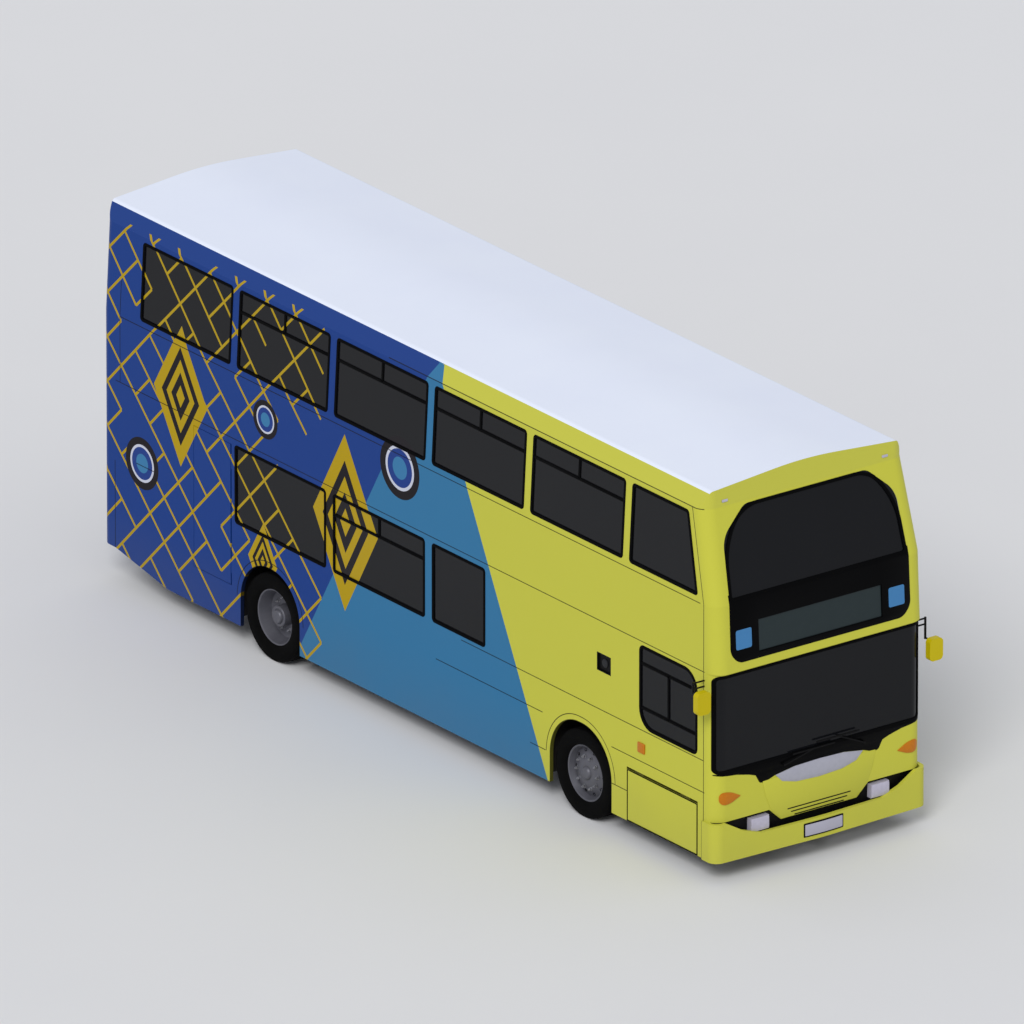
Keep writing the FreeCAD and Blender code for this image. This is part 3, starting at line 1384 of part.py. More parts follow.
def front_axle():
    """The dropped front beam with its kingpins, and the two steered knuckles."""
    centre = S.tyre_radius
    arm = S.kingpin_boss_half - FLUSH - S.lug_thickness / 2
    low = RAIL_BOTTOM - S.beam_depth
    rise = S.beam_low_half + S.beam_rise_run
    half_line = [(S.beam_low_half, low), (rise, centre - arm), (KINGPIN, centre - arm),
                 (KINGPIN, centre + arm), (rise - S.beam_depth, centre + arm),
                 (S.beam_low_half - S.beam_depth, RAIL_BOTTOM)]
    beam = Solid("beam")
    other = [(-place, level) for place, level in reversed(half_line)]
    beam.pad("YZ", [half_line + other], FRONT_AXLE - S.beam_width / 2, S.beam_width)
    parts = [beam]
    pin_half = S.kingpin_boss_half + S.lug_thickness
    for side in (-1, 1):
        parts.append(rod(f"boss_{side + 1}", "Z", FRONT_AXLE, KINGPIN * side,
                         centre - S.kingpin_boss_half, S.kingpin_boss_half * 2,
                         S.kingpin_boss_radius))
        parts.append(rod(f"kingpin_{side + 1}", "Z", FRONT_AXLE, KINGPIN * side, centre - pin_half,
                         pin_half * 2, S.kingpin_radius))
    keep("front_axle_beam", fuse("front_axle", *parts))

    face = KINGPIN + S.kingpin_boss_radius + S.lug_plate
    half = S.lug_width / 2
    low_lug = centre - S.kingpin_boss_half - S.clearance
    high_lug = centre + S.kingpin_boss_half + S.clearance
    upright = box("upright", FRONT_AXLE - half, FRONT_AXLE + half, face,
                  face + S.upright_thickness, low_lug - S.lug_thickness,
                  high_lug + S.lug_thickness)
    lugs = [box("low_lug", FRONT_AXLE - half, FRONT_AXLE + half, KINGPIN - half, face,
                low_lug - S.lug_thickness, low_lug),
            box("high_lug", FRONT_AXLE - half, FRONT_AXLE + half, KINGPIN - half, face,
                high_lug, high_lug + S.lug_thickness)]
    stub_start = face + S.upright_thickness
    stub = rod("stub", "Y", FRONT_AXLE, stub_start, centre,
               WHEEL_CENTRE + S.front_hub_offset - stub_start, S.stub_radius)
    bore = rod("kingpin_bore", "Z", FRONT_AXLE, KINGPIN, centre - pin_half - S.overrun,
               (pin_half + S.overrun) * 2, S.kingpin_radius + S.clearance)
    knuckle = cut("knuckle", fuse("knuckle_whole", upright, *lugs, stub), bore)
    keep("knuckle_left", knuckle)
    keep("knuckle_right", mirrored("knuckle_other", knuckle))


def rear_axle():
    """The drive axle: a casing, tubes, spindles in the hubs and seats on the rails."""
    centre = S.tyre_radius
    tube_half = WHEEL_CENTRE - S.twin_spacing - S.bead_width / 2 - S.disc_thickness
    spindle_half = WHEEL_CENTRE + S.rear_hub_offset
    zero = FLUSH
    parts = [
        rod("casing", "Y", REAR_AXLE, zero - S.axle_casing_length / 2, centre,
            S.axle_casing_length, S.axle_casing_radius),
        rod("tube", "Y", REAR_AXLE, -tube_half, centre, tube_half * 2, S.axle_tube_radius),
        rod("spindle", "Y", REAR_AXLE, -spindle_half, centre, spindle_half * 2,
            S.rear_stub_radius)]
    for side in (-1, 1):
        middle = S.rail_offset * side
        parts.append(box(f"axle_seat_{side + 1}", REAR_AXLE - S.axle_tube_radius,
                         REAR_AXLE + S.axle_tube_radius, middle - S.rail_width / 2,
                         middle + S.rail_width / 2, RAIL_TOP, centre))
    keep("rear_axle", fuse("rear_axle_whole", *parts))


def entrance_doors():
    """Two glider leaves, each on a post with two arms; both halves fold inwards as they open."""
    middle = (DOOR_REAR + DOOR_FRONT) / 2
    reach = (S.door_width / 2 + S.post_inset - S.door_gap) / 2
    leaf_outer = HALF - S.leaf_setback
    leaf_inner = leaf_outer - S.leaf_thickness
    post_y = leaf_inner - S.arm_offset
    leaf_bottom = S.floor_top + S.arm_gap * 2 + S.arm_height
    leaf_top = S.door_top - S.door_gap
    arm_levels = (S.floor_top + S.arm_gap, leaf_top + S.arm_gap)
    for tag, side, jamb in (("rear", 1, DOOR_REAR), ("front", -1, DOOR_FRONT)):
        post_x = jamb - S.post_inset * side
        pivot_x = post_x + reach * side
        edges = [jamb + S.door_jamb_gap * side, middle - S.door_gap / 2 * side]
        low, high = edges if side > 0 else edges[::-1]
        leaf = Solid(f"leaf_{tag}")
        window = rectangle(low + S.leaf_frame, high - S.leaf_frame, leaf_bottom + S.leaf_kick,
                           leaf_top - S.leaf_frame, S.window_corner)
        leaf.pad("XZ", [rectangle(low, high, leaf_bottom, leaf_top), window], leaf_inner,
                 S.leaf_thickness)
        glass = Solid(f"leaf_glass_{tag}")
        glass.pad("XZ", [rectangle(low + S.leaf_frame + S.clearance,
                                   high - S.leaf_frame - S.clearance,
                                   leaf_bottom + S.leaf_kick + S.clearance,
                                   leaf_top - S.leaf_frame - S.clearance, S.window_corner)],
                  leaf_outer - S.glass_inset - S.glass, S.glass)
        keep(f"door_glass_{tag}", glass)
        post = rod(f"post_{tag}", "Z", post_x, post_y, S.floor_top + S.clearance,
                   S.mid_level - S.floor_top - S.clearance * 2, S.post_radius)
        arm_parts, leaf_parts, bores = [post], [leaf], []
        for index, level in enumerate(arm_levels):
            low_x, high_x = (post_x, pivot_x) if side > 0 else (pivot_x, post_x)
            top = level + S.arm_height
            arm_parts.append(box(f"arm_{tag}_{index}", low_x, high_x, post_y - S.post_radius / 2,
                                 post_y + S.post_radius / 2, level, top))
            arm_parts.append(rod(f"eye_{tag}_{index}", "Z", pivot_x, post_y, level,
                                 S.arm_height, S.post_radius))
            bores.append(rod(f"eye_bore_{tag}_{index}", "Z", pivot_x, post_y, level - S.overrun,
                             S.arm_height + S.overrun * 2, S.door_pin_radius + S.clearance))
            plate = leaf_bottom if index == 0 else leaf_top - S.lug_plate
            boss = top + S.clearance if index == 0 else leaf_top - S.lug_plate
            leaf_parts.append(box(f"door_lug_{tag}_{index}", pivot_x - S.post_radius,
                                  pivot_x + S.post_radius, post_y, leaf_inner, plate,
                                  plate + S.lug_plate))
            leaf_parts.append(rod(f"door_boss_{tag}_{index}", "Z", pivot_x, post_y, boss,
                                  S.lug_plate + S.arm_gap - S.clearance, S.post_radius))
            pin = level if index == 0 else leaf_top - S.lug_plate
            leaf_parts.append(rod(f"door_pin_{tag}_{index}", "Z", pivot_x, post_y, pin,
                                  S.arm_height + S.arm_gap + S.lug_plate, S.door_pin_radius))
        keep(f"door_arm_{tag}", cut(f"arms_{tag}", fuse(f"arms_whole_{tag}", *arm_parts), *bores))
        keep(f"door_leaf_{tag}", fuse(f"leaf_whole_{tag}", *leaf_parts))


def flaps():
    """The locker flap and the emergency door of the offside."""
    locker = box("locker_lid", LOCKER_REAR, LOCKER_FRONT, -HALF, -HALF + S.flap_thickness,
                 S.skirt_bottom, S.locker_top)
    keep("locker_flap", fuse("locker_whole", locker, *LOCKER_LEAF))
    escape = box("escape_leaf", ESCAPE_REAR, ESCAPE_FRONT, -HALF, -HALF + S.flap_thickness,
                 S.emergency_bottom, S.emergency_top)
    keep("emergency_door", fuse("escape_whole", escape, *ESCAPE_LEAF))


for build in (lower_sides, upper_sides, rear_panels, lower_glass, roof, front_mouldings, bumper,
              indicators, wiper_pair, mirrors, wheel_boxes, lower_floor, chassis, upper_floor,
              staircase, passenger_seats, cab, grab_poles, engine, wheels, front_axle, rear_axle,
              entrance_doors, flaps):
    build()

doc.recompute()
faults = [item.Label for item in doc.Objects
          if "Invalid" in item.State or "Error" in item.State]
faults += [node.Label for node in NODES if node.Shape.isNull() or not node.Shape.isValid()]
if faults:
    raise RuntimeError("these objects failed: " + ", ".join(faults))

os.makedirs("parts", exist_ok=True)
for node in NODES:
    node.Shape.exportStep(os.path.join("parts", node.Label + ".step"))
print(len(NODES), "sub-parts written")
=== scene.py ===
"""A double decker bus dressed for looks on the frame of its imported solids.

X runs forward, Y to the kerb side and Z up, in metres, from the ground under the bus's middle.
"""
import json
import logging
import math
from contextlib import contextmanager
from dataclasses import dataclass
from enum import Enum
from functools import partial
from typing import Callable, Iterator, Optional, Sequence, Union

import bmesh
import bpy
from mathutils import Matrix, Vector

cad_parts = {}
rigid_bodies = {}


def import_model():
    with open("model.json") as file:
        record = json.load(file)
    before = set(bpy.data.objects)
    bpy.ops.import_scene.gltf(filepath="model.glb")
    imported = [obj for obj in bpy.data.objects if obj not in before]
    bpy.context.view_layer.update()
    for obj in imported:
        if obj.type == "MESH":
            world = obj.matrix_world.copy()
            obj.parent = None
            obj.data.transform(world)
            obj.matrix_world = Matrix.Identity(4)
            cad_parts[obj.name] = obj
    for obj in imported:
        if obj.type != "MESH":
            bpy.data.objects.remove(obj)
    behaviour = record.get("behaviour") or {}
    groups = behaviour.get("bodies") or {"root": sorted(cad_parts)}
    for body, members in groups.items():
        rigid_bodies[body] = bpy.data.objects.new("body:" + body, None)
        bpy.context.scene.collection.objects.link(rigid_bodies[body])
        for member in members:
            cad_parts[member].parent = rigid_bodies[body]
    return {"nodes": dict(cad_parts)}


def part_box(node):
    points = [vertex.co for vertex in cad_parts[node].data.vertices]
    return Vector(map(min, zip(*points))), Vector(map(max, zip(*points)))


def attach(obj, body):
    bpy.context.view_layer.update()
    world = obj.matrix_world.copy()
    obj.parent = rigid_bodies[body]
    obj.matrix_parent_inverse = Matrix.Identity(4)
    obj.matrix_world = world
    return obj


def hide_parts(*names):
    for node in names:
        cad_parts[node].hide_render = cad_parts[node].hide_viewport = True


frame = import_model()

LOG = logging.getLogger("double_decker_bus")
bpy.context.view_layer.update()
BODY = "bus_body"
NODES = frame["nodes"]
# How near a corner counts as found, the edges of a rounded corner, how near two points count as
# one, the sharpest angle that stays unrounded, and the sharpest that is shaded smooth, in degrees
SAME_SPOT = 1e-5
CORNER_EDGES = 7
MERGED = 1e-6
SOFT_ANGLE = math.radians(40)
SMOOTH = 35.0
# How fine the noise of patches, grain and cloth goes, how much a grain turns the light, and how
# rough a clear coat is
PATCH_DETAIL, GRAIN_DETAIL, FINE_DETAIL = 4.0, 3.0, 5.0
GRAIN_STRENGTH = 0.6
COAT_ROUGHNESS = 0.08

Tree, Node, Socket = bpy.types.NodeTree, bpy.types.Node, bpy.types.NodeSocket
Feed = Union[Node, Socket, float, tuple]
Adder = Callable[..., Node]
Corner = tuple[float, ...]
Stations = Sequence[tuple[float, float]]


# ---------------------------------------------------------------- finishes


def linear(code: str) -> Corner:
    """Turn an sRGB hex colour into the linear one that shaders use.

    Args:
        code: The colour, such as "#20407A".

    Returns:
        Its red, green, blue and alpha, each from 0 to 1.
    """
    parts = [int(code[start:start + 2], 16) / 255 for start in (1, 3, 5)]
    red, green, blue = [part / 12.92 if part <= 0.04045 else ((part + 0.055) / 1.055) ** 2.4
                        for part in parts]
    return red, green, blue, 1.0


def per_metre(millimetres: float) -> float:
    """The scale of a pattern whose features are so many millimetres apart."""
    return 1000.0 / millimetres


def add_node(tree: Tree, kind: str, *feeds: Feed, **named: Feed) -> Node:
    """Add a node and feed its inputs. A node that feeds one stands for its first output in use.

    Args:
        tree: The node tree that takes it.
        kind: The node's type, with its operation or the type of its data after a dot.
        *feeds: What feeds the inputs in use, in their order.
        **named: What feeds an input by its name, with "_" for a space.

    Returns:
        The new node.
    """
    kind, _, mode = kind.partition(".")
    node = tree.nodes.new(f"ShaderNode{kind}")
    if mode:
        setattr(node, "data_type" if kind == "Mix" else "operation", mode)
    rows = list(zip([row for row in node.inputs if row.enabled], feeds))
    rows += [(node.inputs[name.replace("_", " ")], feed) for name, feed in named.items()]
    for row, feed in rows:
        if isinstance(feed, Node):
            feed = next(output for output in feed.outputs if output.enabled)
        if isinstance(feed, Socket):
            tree.links.new(feed, row)
        else:
            row.default_value = feed
    return node


@dataclass(frozen=True)
class Finish:
    """A material with the process that made its surface.

    The base colour drifts to a second one over patches, and a fine grain roughens the surface.
    """

    name: str
    colour: str
    drift: str
    roughness: float
    patch_mm: float = 400.0
    grain_mm: float = 6.0
    grain_height_mm: float = 0.05
    metallic: float = 0.0
    coat: float = 0.0
    clear: float = 0.0
    glow: float = 0.0
    specular: float = 0.5
    sheen: float = 0.0
    gloss_spread: float = 0.06
    least_roughness: float = 0.02

    def base(self, add: Adder, place: Socket) -> Node:
        """Give the colour over the surface."""
        patches = add("TexNoise", place, per_metre(self.patch_mm), PATCH_DETAIL)
        return add("Mix.RGBA", patches, linear(self.colour), linear(self.drift))

    def clearness(self, add: Adder, place: Socket) -> Feed:
        """Give how much light the surface lets through."""
        return self.clear

    def material(self) -> bpy.types.Material:
        """Build the material once, or give the one that was built before.

        Returns:
            The material of this finish.
        """
        known = bpy.data.materials.get(self.name)
        if known:
            return known
        material = bpy.data.materials.new(self.name)
        material.use_nodes = True
        material.node_tree.nodes.clear()
        add = partial(add_node, material.node_tree)
        place = add("TexCoord").outputs["Object"]
        grain = add("TexNoise", place, per_metre(self.grain_mm), GRAIN_DETAIL)
        gloss = add("MapRange", grain, To_Max=self.roughness + self.gloss_spread,
                    To_Min=max(self.least_roughness, self.roughness - self.gloss_spread))
        bump = add("Bump", GRAIN_STRENGTH, self.grain_height_mm / 1000, Height=grain)
        add("OutputMaterial", add(
            "BsdfPrincipled", Base_Color=self.base(add, place), Roughness=gloss, Normal=bump,
            Metallic=self.metallic, Specular_IOR_Level=self.specular, Sheen_Weight=self.sheen,
            Coat_Weight=self.coat, Coat_Roughness=COAT_ROUGHNESS,
            Transmission_Weight=self.clearness(add, place),
            Emission_Color=linear(self.colour), Emission_Strength=self.glow))
        return material


@dataclass(frozen=True)
class PanelLine:
    """A seam between two panels: its centre, half extents, and lean in X for each step up."""

    x: float
    z: float
    half_x: float
    half_z: float
    lean: float = 0.0
    both_sides: bool = True


@dataclass(frozen=True)
class ArchSeamAndShade:
    """Painted shade in black on the lip of a wheel arch, where the dark wheel box shows, and the
    seam that runs round it.
    """

    x: float
    half: float
    top: float
    radius: float
    away: float = 0.06
    foot: float = 0.53
    # How far past the arch's radius the painted shade of the lip reaches
    lip: float = 0.005

    def mask(self, add: Adder, x: Socket, z: Socket, seam: float) -> Node:
        """Give a mask that is 1 on the seam, and on the lip where shade is painted.

        Args:
            add: Adds a node to the material.
            x: The place along the bus.
            z: The height.
            seam: The seam's width.

        Returns:
            The mask.
        """
        across = add("Math.ABSOLUTE", add("Math.SUBTRACT", x, self.x))
        past = add("Math.SUBTRACT", across, self.half - self.radius)
        above = add("Math.SUBTRACT", z, self.top - self.radius)
        reach = add("VectorMath.LENGTH", add("CombineXYZ", add("Math.MAXIMUM", past, 0.0),
                                             add("Math.MAXIMUM", above, 0.0)))
        line = add("Math.COMPARE", reach, self.radius + self.away, seam / 2)
        line = add("Math.MULTIPLY", line, add("Math.GREATER_THAN", z, self.foot))
        # The lip: painted shade for the dark wheel box inside the arch
        return add("Math.MAXIMUM", line, add("Math.LESS_THAN", reach, self.radius + self.lip))


@dataclass(frozen=True)
class Motif:
    """A printed disc with rings, or a lozenge with lozenges in it."""

    x: float
    z: float
    half_x: float
    half_z: float
    rounded: bool = False


@dataclass(frozen=True)
class PrintedFilm:
    """The printed film on the tail: a gold trellis, ringed lozenges and ringed discs.

    The film ends forward in a ragged wave, and some of the trellis's bars are left out.
    """

    pitch: float = 0.47
    line: float = 0.028
    rear_edge: float = -4.965
    side_edge: float = 1.2
    waves: float = 2.4
    wave_depth: float = 0.42
    front_edge: float = -1.75
    left_out: float = 0.16
    gold: str = "#B3960C"
    black: str = "#19151A"
    white: str = "#C9CCDA"
    deep: str = "#1F3C84"
    pale: str = "#3A79A6"
    lozenge_rings: tuple[float, ...] = (0.0, 0.16, 0.34, 0.52, 0.70)
    disc_rings: tuple[float, ...] = (0.0, 0.36, 0.62, 0.72)
    motifs: tuple[Motif, ...] = (
        Motif(-3.72, 2.33, 0.44, 0.74), Motif(-1.02, 1.86, 0.53, 0.93),
        Motif(-2.37, 1.02, 0.24, 0.40), Motif(-4.36, 1.42, 0.27, 0.27, True),
        Motif(-0.12, 2.72, 0.32, 0.32, True), Motif(-2.32, 2.53, 0.20, 0.20, True))

    def trellis(self, add: Adder, x: Socket, z: Socket) -> Node:
        """Draw the trellis, whose bars end at crossings where the film's edge is ragged.

        Args:
            add: Adds a node to the material.
            x: The place along the bus.
            z: The height.

        Returns:
            A mask that is 1 on a bar.
        """
        along_x, up_z = [add("Math.MULTIPLY", axis, 1 / self.pitch) for axis in (x, z)]
        total = add("Math.ADD", along_x, up_z)
        difference = add("Math.SUBTRACT", along_x, up_z)
        half, masks = self.pitch / 2, []
        for across, along, sign in ((total, difference, 1.0), (difference, total, -1.0)):
            bar = add("Math.LESS_THAN", add("Math.PINGPONG", across, 0.5),
                      self.line / 2 * math.sqrt(2) / self.pitch)
            row, step = add("Math.ROUND", across), add("Math.FLOOR", along)
            middle_x = add("Math.MULTIPLY_ADD", add("Math.ADD", row, step), half, half / 2)
            middle_z = add("Math.MULTIPLY_ADD", add("Math.SUBTRACT", row, step), sign * half,
                           -sign * half / 2)
            wave = add("Math.SINE", add("Math.MULTIPLY", middle_z, self.waves))
            edge = add("Math.MULTIPLY_ADD", wave, self.wave_depth, self.front_edge)
            drawn = add("Math.MULTIPLY", bar, add("Math.LESS_THAN", middle_x, edge))
            chance = add("TexWhiteNoise", add("CombineXYZ", row, step, sign))
            masks.append(add("Math.MULTIPLY", drawn,
                             add("Math.GREATER_THAN", chance, self.left_out)))
        return add("Math.MAXIMUM", *masks)

    def print_on(self, add: Adder, place: Socket, ground: Node) -> tuple[Node, Node]:
        """Lay the print over a ground colour, on the two sides of the bus only.

        Args:
            add: Adds a node to the material.
            place: The place on the object.
            ground: The colour under the print.

        Returns:
            The printed colour, and a mask that is 1 where there is print.
        """
        x, y, z = add("SeparateXYZ", place).outputs
        cover = self.trellis(add, x, z)
        colour = add("Mix.RGBA", cover, ground, linear(self.gold))
        for motif in self.motifs:
            spot = add("VectorMath.SUBTRACT", place, (motif.x, 0.0, motif.z))
            share = add("VectorMath.MULTIPLY", spot, (1 / motif.half_x, 0.0, 1 / motif.half_z))
            reach = add("VectorMath.LENGTH", share) if motif.rounded else add(
                "VectorMath.DOT_PRODUCT", add("VectorMath.ABSOLUTE", share), (1.0, 0.0, 1.0))
            rings = add("ValToRGB", reach)
            self.ring_colours(rings.color_ramp, motif.rounded)
            mask = add("Math.LESS_THAN", reach, 1.0)
            colour = add("Mix.RGBA", mask, colour, rings)
            cover = add("Math.MAXIMUM", cover, mask)
        flank = add("Math.GREATER_THAN", add("Math.ABSOLUTE", y), self.side_edge)
        ahead = add("Math.GREATER_THAN", x, self.rear_edge)
        cover = add("Math.MULTIPLY", cover, add("Math.MULTIPLY", flank, ahead))
        return add("Mix.RGBA", cover, ground, colour), cover

    def ring_colours(self, ramp: bpy.types.ColorRamp, rounded: bool) -> None:
        """Set the rings of a motif from its middle outwards.

        Args:
            ramp: The colour ramp to set.
            rounded: Whether the motif is a disc.
        """
        places = self.disc_rings if rounded else self.lozenge_rings
        codes = ((self.pale, self.deep, self.white, self.black) if rounded else
                 (self.gold, self.black, self.gold, self.black, self.gold))
        ramp.interpolation = "CONSTANT"
        ramp.elements[1].position = places[1]
        for place in places[2:]:
            ramp.elements.new(place)
        for element, code in zip(ramp.elements, codes):
            element.color = linear(code)


@dataclass(frozen=True)
class LiveryPaint(Finish):
    """Two-pack coach paint in three colours, with the seams of the panels pressed into it, and
    painted shade in black on the lips of the wheel arches.

    A slant is the band's edge: how far it moves in X for each step up, and its X at the ground.
    """

    dark: str = "#173C84"
    pale: str = "#33749F"
    yellow: str = "#C5C446"
    inside: str = "#8E8F92"
    road_dust: str = "#6E6A60"
    # Near black for the dark seams, and for the painted shade on the arch lips
    seam_and_painted_shade: str = "#0C0C0A"
    dark_slant: Corner = (0.5847, -1.9486)
    yellow_slant: Corner = (-0.496, 2.3891)
    dust_levels: Corner = (0.9, 0.2)
    most_dust: float = 0.22
    seam: float = 0.010
    # How far the seams and the painted shade of the arch lips darken the paint
    seam_and_shade_strength: float = 0.85
    seam_edge: float = 1.18
    outward: Corner = (0.05, 1.0, 0.0)
    inward: float = -0.2
    film: PrintedFilm = PrintedFilm()
    seams: tuple[PanelLine, ...] = (
        PanelLine(2.19, 3.79, 2.55, 0.0), PanelLine(0.0, 2.86, 4.72, 0.0),
        PanelLine(0.0, 2.165, 4.79, 0.0), PanelLine(2.83, 1.24, 1.95, 0.0, both_sides=False),
        PanelLine(1.33, 0.91, 0.86, 0.0), PanelLine(4.05, 0.91, 0.74, 0.0, both_sides=False),
        PanelLine(3.43, 0.53, 0.13, 0.0), PanelLine(2.12, 0.53, 0.12, 0.0),
        PanelLine(4.78, 1.535, 0.0, 1.325), PanelLine(4.655, 3.325, 0.0, 0.465, -0.2688),
        PanelLine(-4.81, 0.85, 0.0, 0.46), PanelLine(-4.72, 2.7, 0.0, 0.53),
        PanelLine(-4.2, 2.165, 0.25, 0.0), PanelLine(-4.3, 1.394, 0.15, 0.0),
        PanelLine(4.121, 0.774, 0.563, 0.006, both_sides=False),
        PanelLine(3.5575, 0.49, 0.0, 0.275, both_sides=False),
        PanelLine(4.6845, 0.49, 0.0, 0.275, both_sides=False))
    arches: tuple[ArchSeamAndShade, ...] = (ArchSeamAndShade(2.81, 0.495, 1.0, 0.475),
                                    ArchSeamAndShade(-2.25, 0.483, 0.982, 0.464))

    def base(self, add: Adder, place: Socket) -> Node:
        """Give the bands of the livery, the print, dust and dark seams on them, the painted shade
        on the arch lips, and the trim colour inside.

        Args:
            add: Adds a node to the material.
            place: The place on the object.

        Returns:
            The colour.
        """
        x, _, z = add("SeparateXYZ", place).outputs
        is_dark = add("Math.LESS_THAN", x, add("Math.MULTIPLY_ADD", z, *self.dark_slant))
        is_yellow = add("Math.GREATER_THAN", x, add("Math.MULTIPLY_ADD", z, *self.yellow_slant))
        colour = add("Mix.RGBA", is_yellow, linear(self.pale), linear(self.yellow))
        colour = add("Mix.RGBA", is_dark, colour, linear(self.dark))
        colour = self.film.print_on(add, place, colour)[0]
        dust = add("TexNoise", place, per_metre(self.patch_mm), PATCH_DETAIL)
        low = add("MapRange", z, *self.dust_levels, 0.0, self.most_dust)
        dust = add("Math.MULTIPLY", dust, low)
        colour = add("Mix.RGBA", dust, colour, linear(self.road_dust))
        # Dark seams, and painted shade on the lips of the wheel arches
        seams = add("Math.MULTIPLY", self.seam_and_shade_mask(add, place), self.seam_and_shade_strength)
        colour = add("Mix.RGBA", seams, colour, linear(self.seam_and_painted_shade))
        return add("Mix.RGBA", self.inner_mask(add, place), colour, linear(self.inside))

    def seam_and_shade_mask(self, add: Adder, place: Socket) -> Node:
        """Give a mask that is 1 on a seam of the flanks, and on the wheel arches' lips where shade
        is painted.

        Args:
            add: Adds a node to the material.
            place: The place on the object.

        Returns:
            The mask.
        """
        x, y, z = add("SeparateXYZ", place).outputs
        offside = add("Math.LESS_THAN", y, 0.0)
        # The arches give their seams and the painted shade of their lips
        total, *masks = [arch.mask(add, x, z, self.seam) for arch in self.arches]
        for line in self.seams:
            lean = add("Math.MULTIPLY_ADD", z, -line.lean, line.lean * line.z)
            along = add("Math.COMPARE", add("Math.ADD", x, lean), line.x,
                        line.half_x + self.seam / 2)
            up = add("Math.COMPARE", z, line.z, line.half_z + self.seam / 2)
            mask = add("Math.MULTIPLY", along, up)
            masks.append(mask if line.both_sides else add("Math.MULTIPLY", mask, offside))
        for mask in masks:
            total = add("Math.MAXIMUM", total, mask)
        flank = add("Math.GREATER_THAN", add("Math.ABSOLUTE", y), self.seam_edge)
        return add("Math.MULTIPLY", total, flank)

    def inner_mask(self, add: Adder, place: Socket) -> Node:
        """Give a mask that is 1 on faces that look into the saloon.

        Args:
            add: Adds a node to the material.
            place: The place on the object.

        Returns:
            The mask.
        """
        outward = add("VectorMath.MULTIPLY", place, self.outward)
        facing = add("VectorMath.DOT_PRODUCT", outward, add("TexCoord").outputs["Normal"])
        return add("Math.LESS_THAN", facing, self.inward)


@dataclass(frozen=True)
class RoofPaint(LiveryPaint):
    """The same coach paint on the roof's edges, with white on what faces the sky."""

    white: str = "#EDF3FF"
    white_drift: str = "#E6ECFC"
    flat: float = 0.62

    def base(self, add: Adder, place: Socket) -> Node:
        """Give white where the roof faces up, and the livery down its edges.

        Args:
            add: Adds a node to the material.
            place: The place on the object.

        Returns:
            The colour.
        """
        facing = add("SeparateXYZ", add("TexCoord").outputs["Normal"]).outputs[2]
        upward = add("Math.GREATER_THAN", facing, self.flat)
        dust = add("TexNoise", place, per_metre(self.patch_mm), FINE_DETAIL)
        white = add("Mix.RGBA", dust, linear(self.white), linear(self.white_drift))
        return add("Mix.RGBA", upward, super().base(add, place), white)


@dataclass(frozen=True)
class MirrorShell(Finish):
    """Yellow gelcoat on the mirror heads, and black paint on the arms behind them."""

    head_start: float = 4.897
    arm: str = "#070708"

    def base(self, add: Adder, place: Socket) -> Node:
        """Give yellow forward of the head's back, and black behind it."""
        head = add("Math.GREATER_THAN", add("SeparateXYZ", place).outputs[0], self.head_start)
        return add("Mix.RGBA", head, linear(self.arm), super().base(add, place))


@dataclass(frozen=True)
class TintedGlass(Finish):
    """Toughened body-tinted glass, with the printed film where it crosses the rear panes."""

    film: PrintedFilm = PrintedFilm()

    def base(self, add: Adder, place: Socket) -> Node:
        """Give the tint with the film's colours over it."""
        return self.film.print_on(add, place, super().base(add, place))[0]

    def clearness(self, add: Adder, place: Socket) -> Feed:
        """Let light through, but not where the film covers the pane."""
        cover = self.film.print_on(add, place, add("RGB"))[1]
        return add("MapRange", cover, To_Min=self.clear, To_Max=0.0)


@dataclass(frozen=True)
class WovenMoquette(Finish):
    """Wool moquette, cut pile on a woven ground, in a small check of blues."""

    check_mm: float = 46.0
    pile: str = "#101A33"

    def base(self, add: Adder, place: Socket) -> Node:
        """Args:
            add: Adds a node to the material.
            place: The place on the object.

        Returns:
            The colour.
        """
        squares = add("TexChecker", place, linear(self.colour), linear(self.drift),
                      per_metre(self.check_mm))
        threads = add("TexNoise", place, per_metre(self.grain_mm), FINE_DETAIL)
        return add("Mix.RGBA", threads, squares, linear(self.pile))


# Sprayed and polished, so its clear coat mirrors the studio softly
COACH_PAINT = LiveryPaint("two_pack_coach_paint", "#C6C54F", "#C6C54F", 0.4, patch_mm=700,
                          grain_mm=9, grain_height_mm=0.02, coat=0.02, specular=0.09)
# The bumper and the nose are the same yellow inside and out
FRONT_PAINT = LiveryPaint("painted_bumper_moulding", "#C5C446", "#C5C446", 0.4, patch_mm=700,
                          grain_mm=9, grain_height_mm=0.02, coat=0.02, specular=0.09,
                          inside="#C5C446")
# The same paint, with chalky white over the top panels
ROOF_COAT = RoofPaint("painted_roof_panels", "#C6C54F", "#C6C54F", 0.45, patch_mm=900,
                      grain_mm=14, grain_height_mm=0.05, specular=0.25)
# Dark body tint: the saloon shows only faintly
BODY_GLASS = TintedGlass("tinted_toughened_glass", "#111215", "#141518", 0.08, patch_mm=600,
                         grain_mm=200, grain_height_mm=0.02, clear=0.1, specular=0.14)
# Extruded and cured, so it is matt with a faint sheen
GASKET_RUBBER = Finish("extruded_window_rubber", "#020203", "#050506", 0.7, grain_mm=3,
                       grain_height_mm=0.05, specular=0.05)
# Vulcanised carbon black rubber, greyed by road dust
TYRE_RUBBER = Finish("vulcanised_tyre_rubber", "#030304", "#0A0A09", 0.8, patch_mm=60, grain_mm=4,
                     grain_height_mm=0.3, specular=0.06)
# Pressed steel under silver paint, with brake dust in its patches
WHEEL_STEEL = Finish("silver_painted_wheel_steel", "#66666E", "#55555C", 0.46, patch_mm=90,
                     grain_mm=5, grain_height_mm=0.05, metallic=0.35)
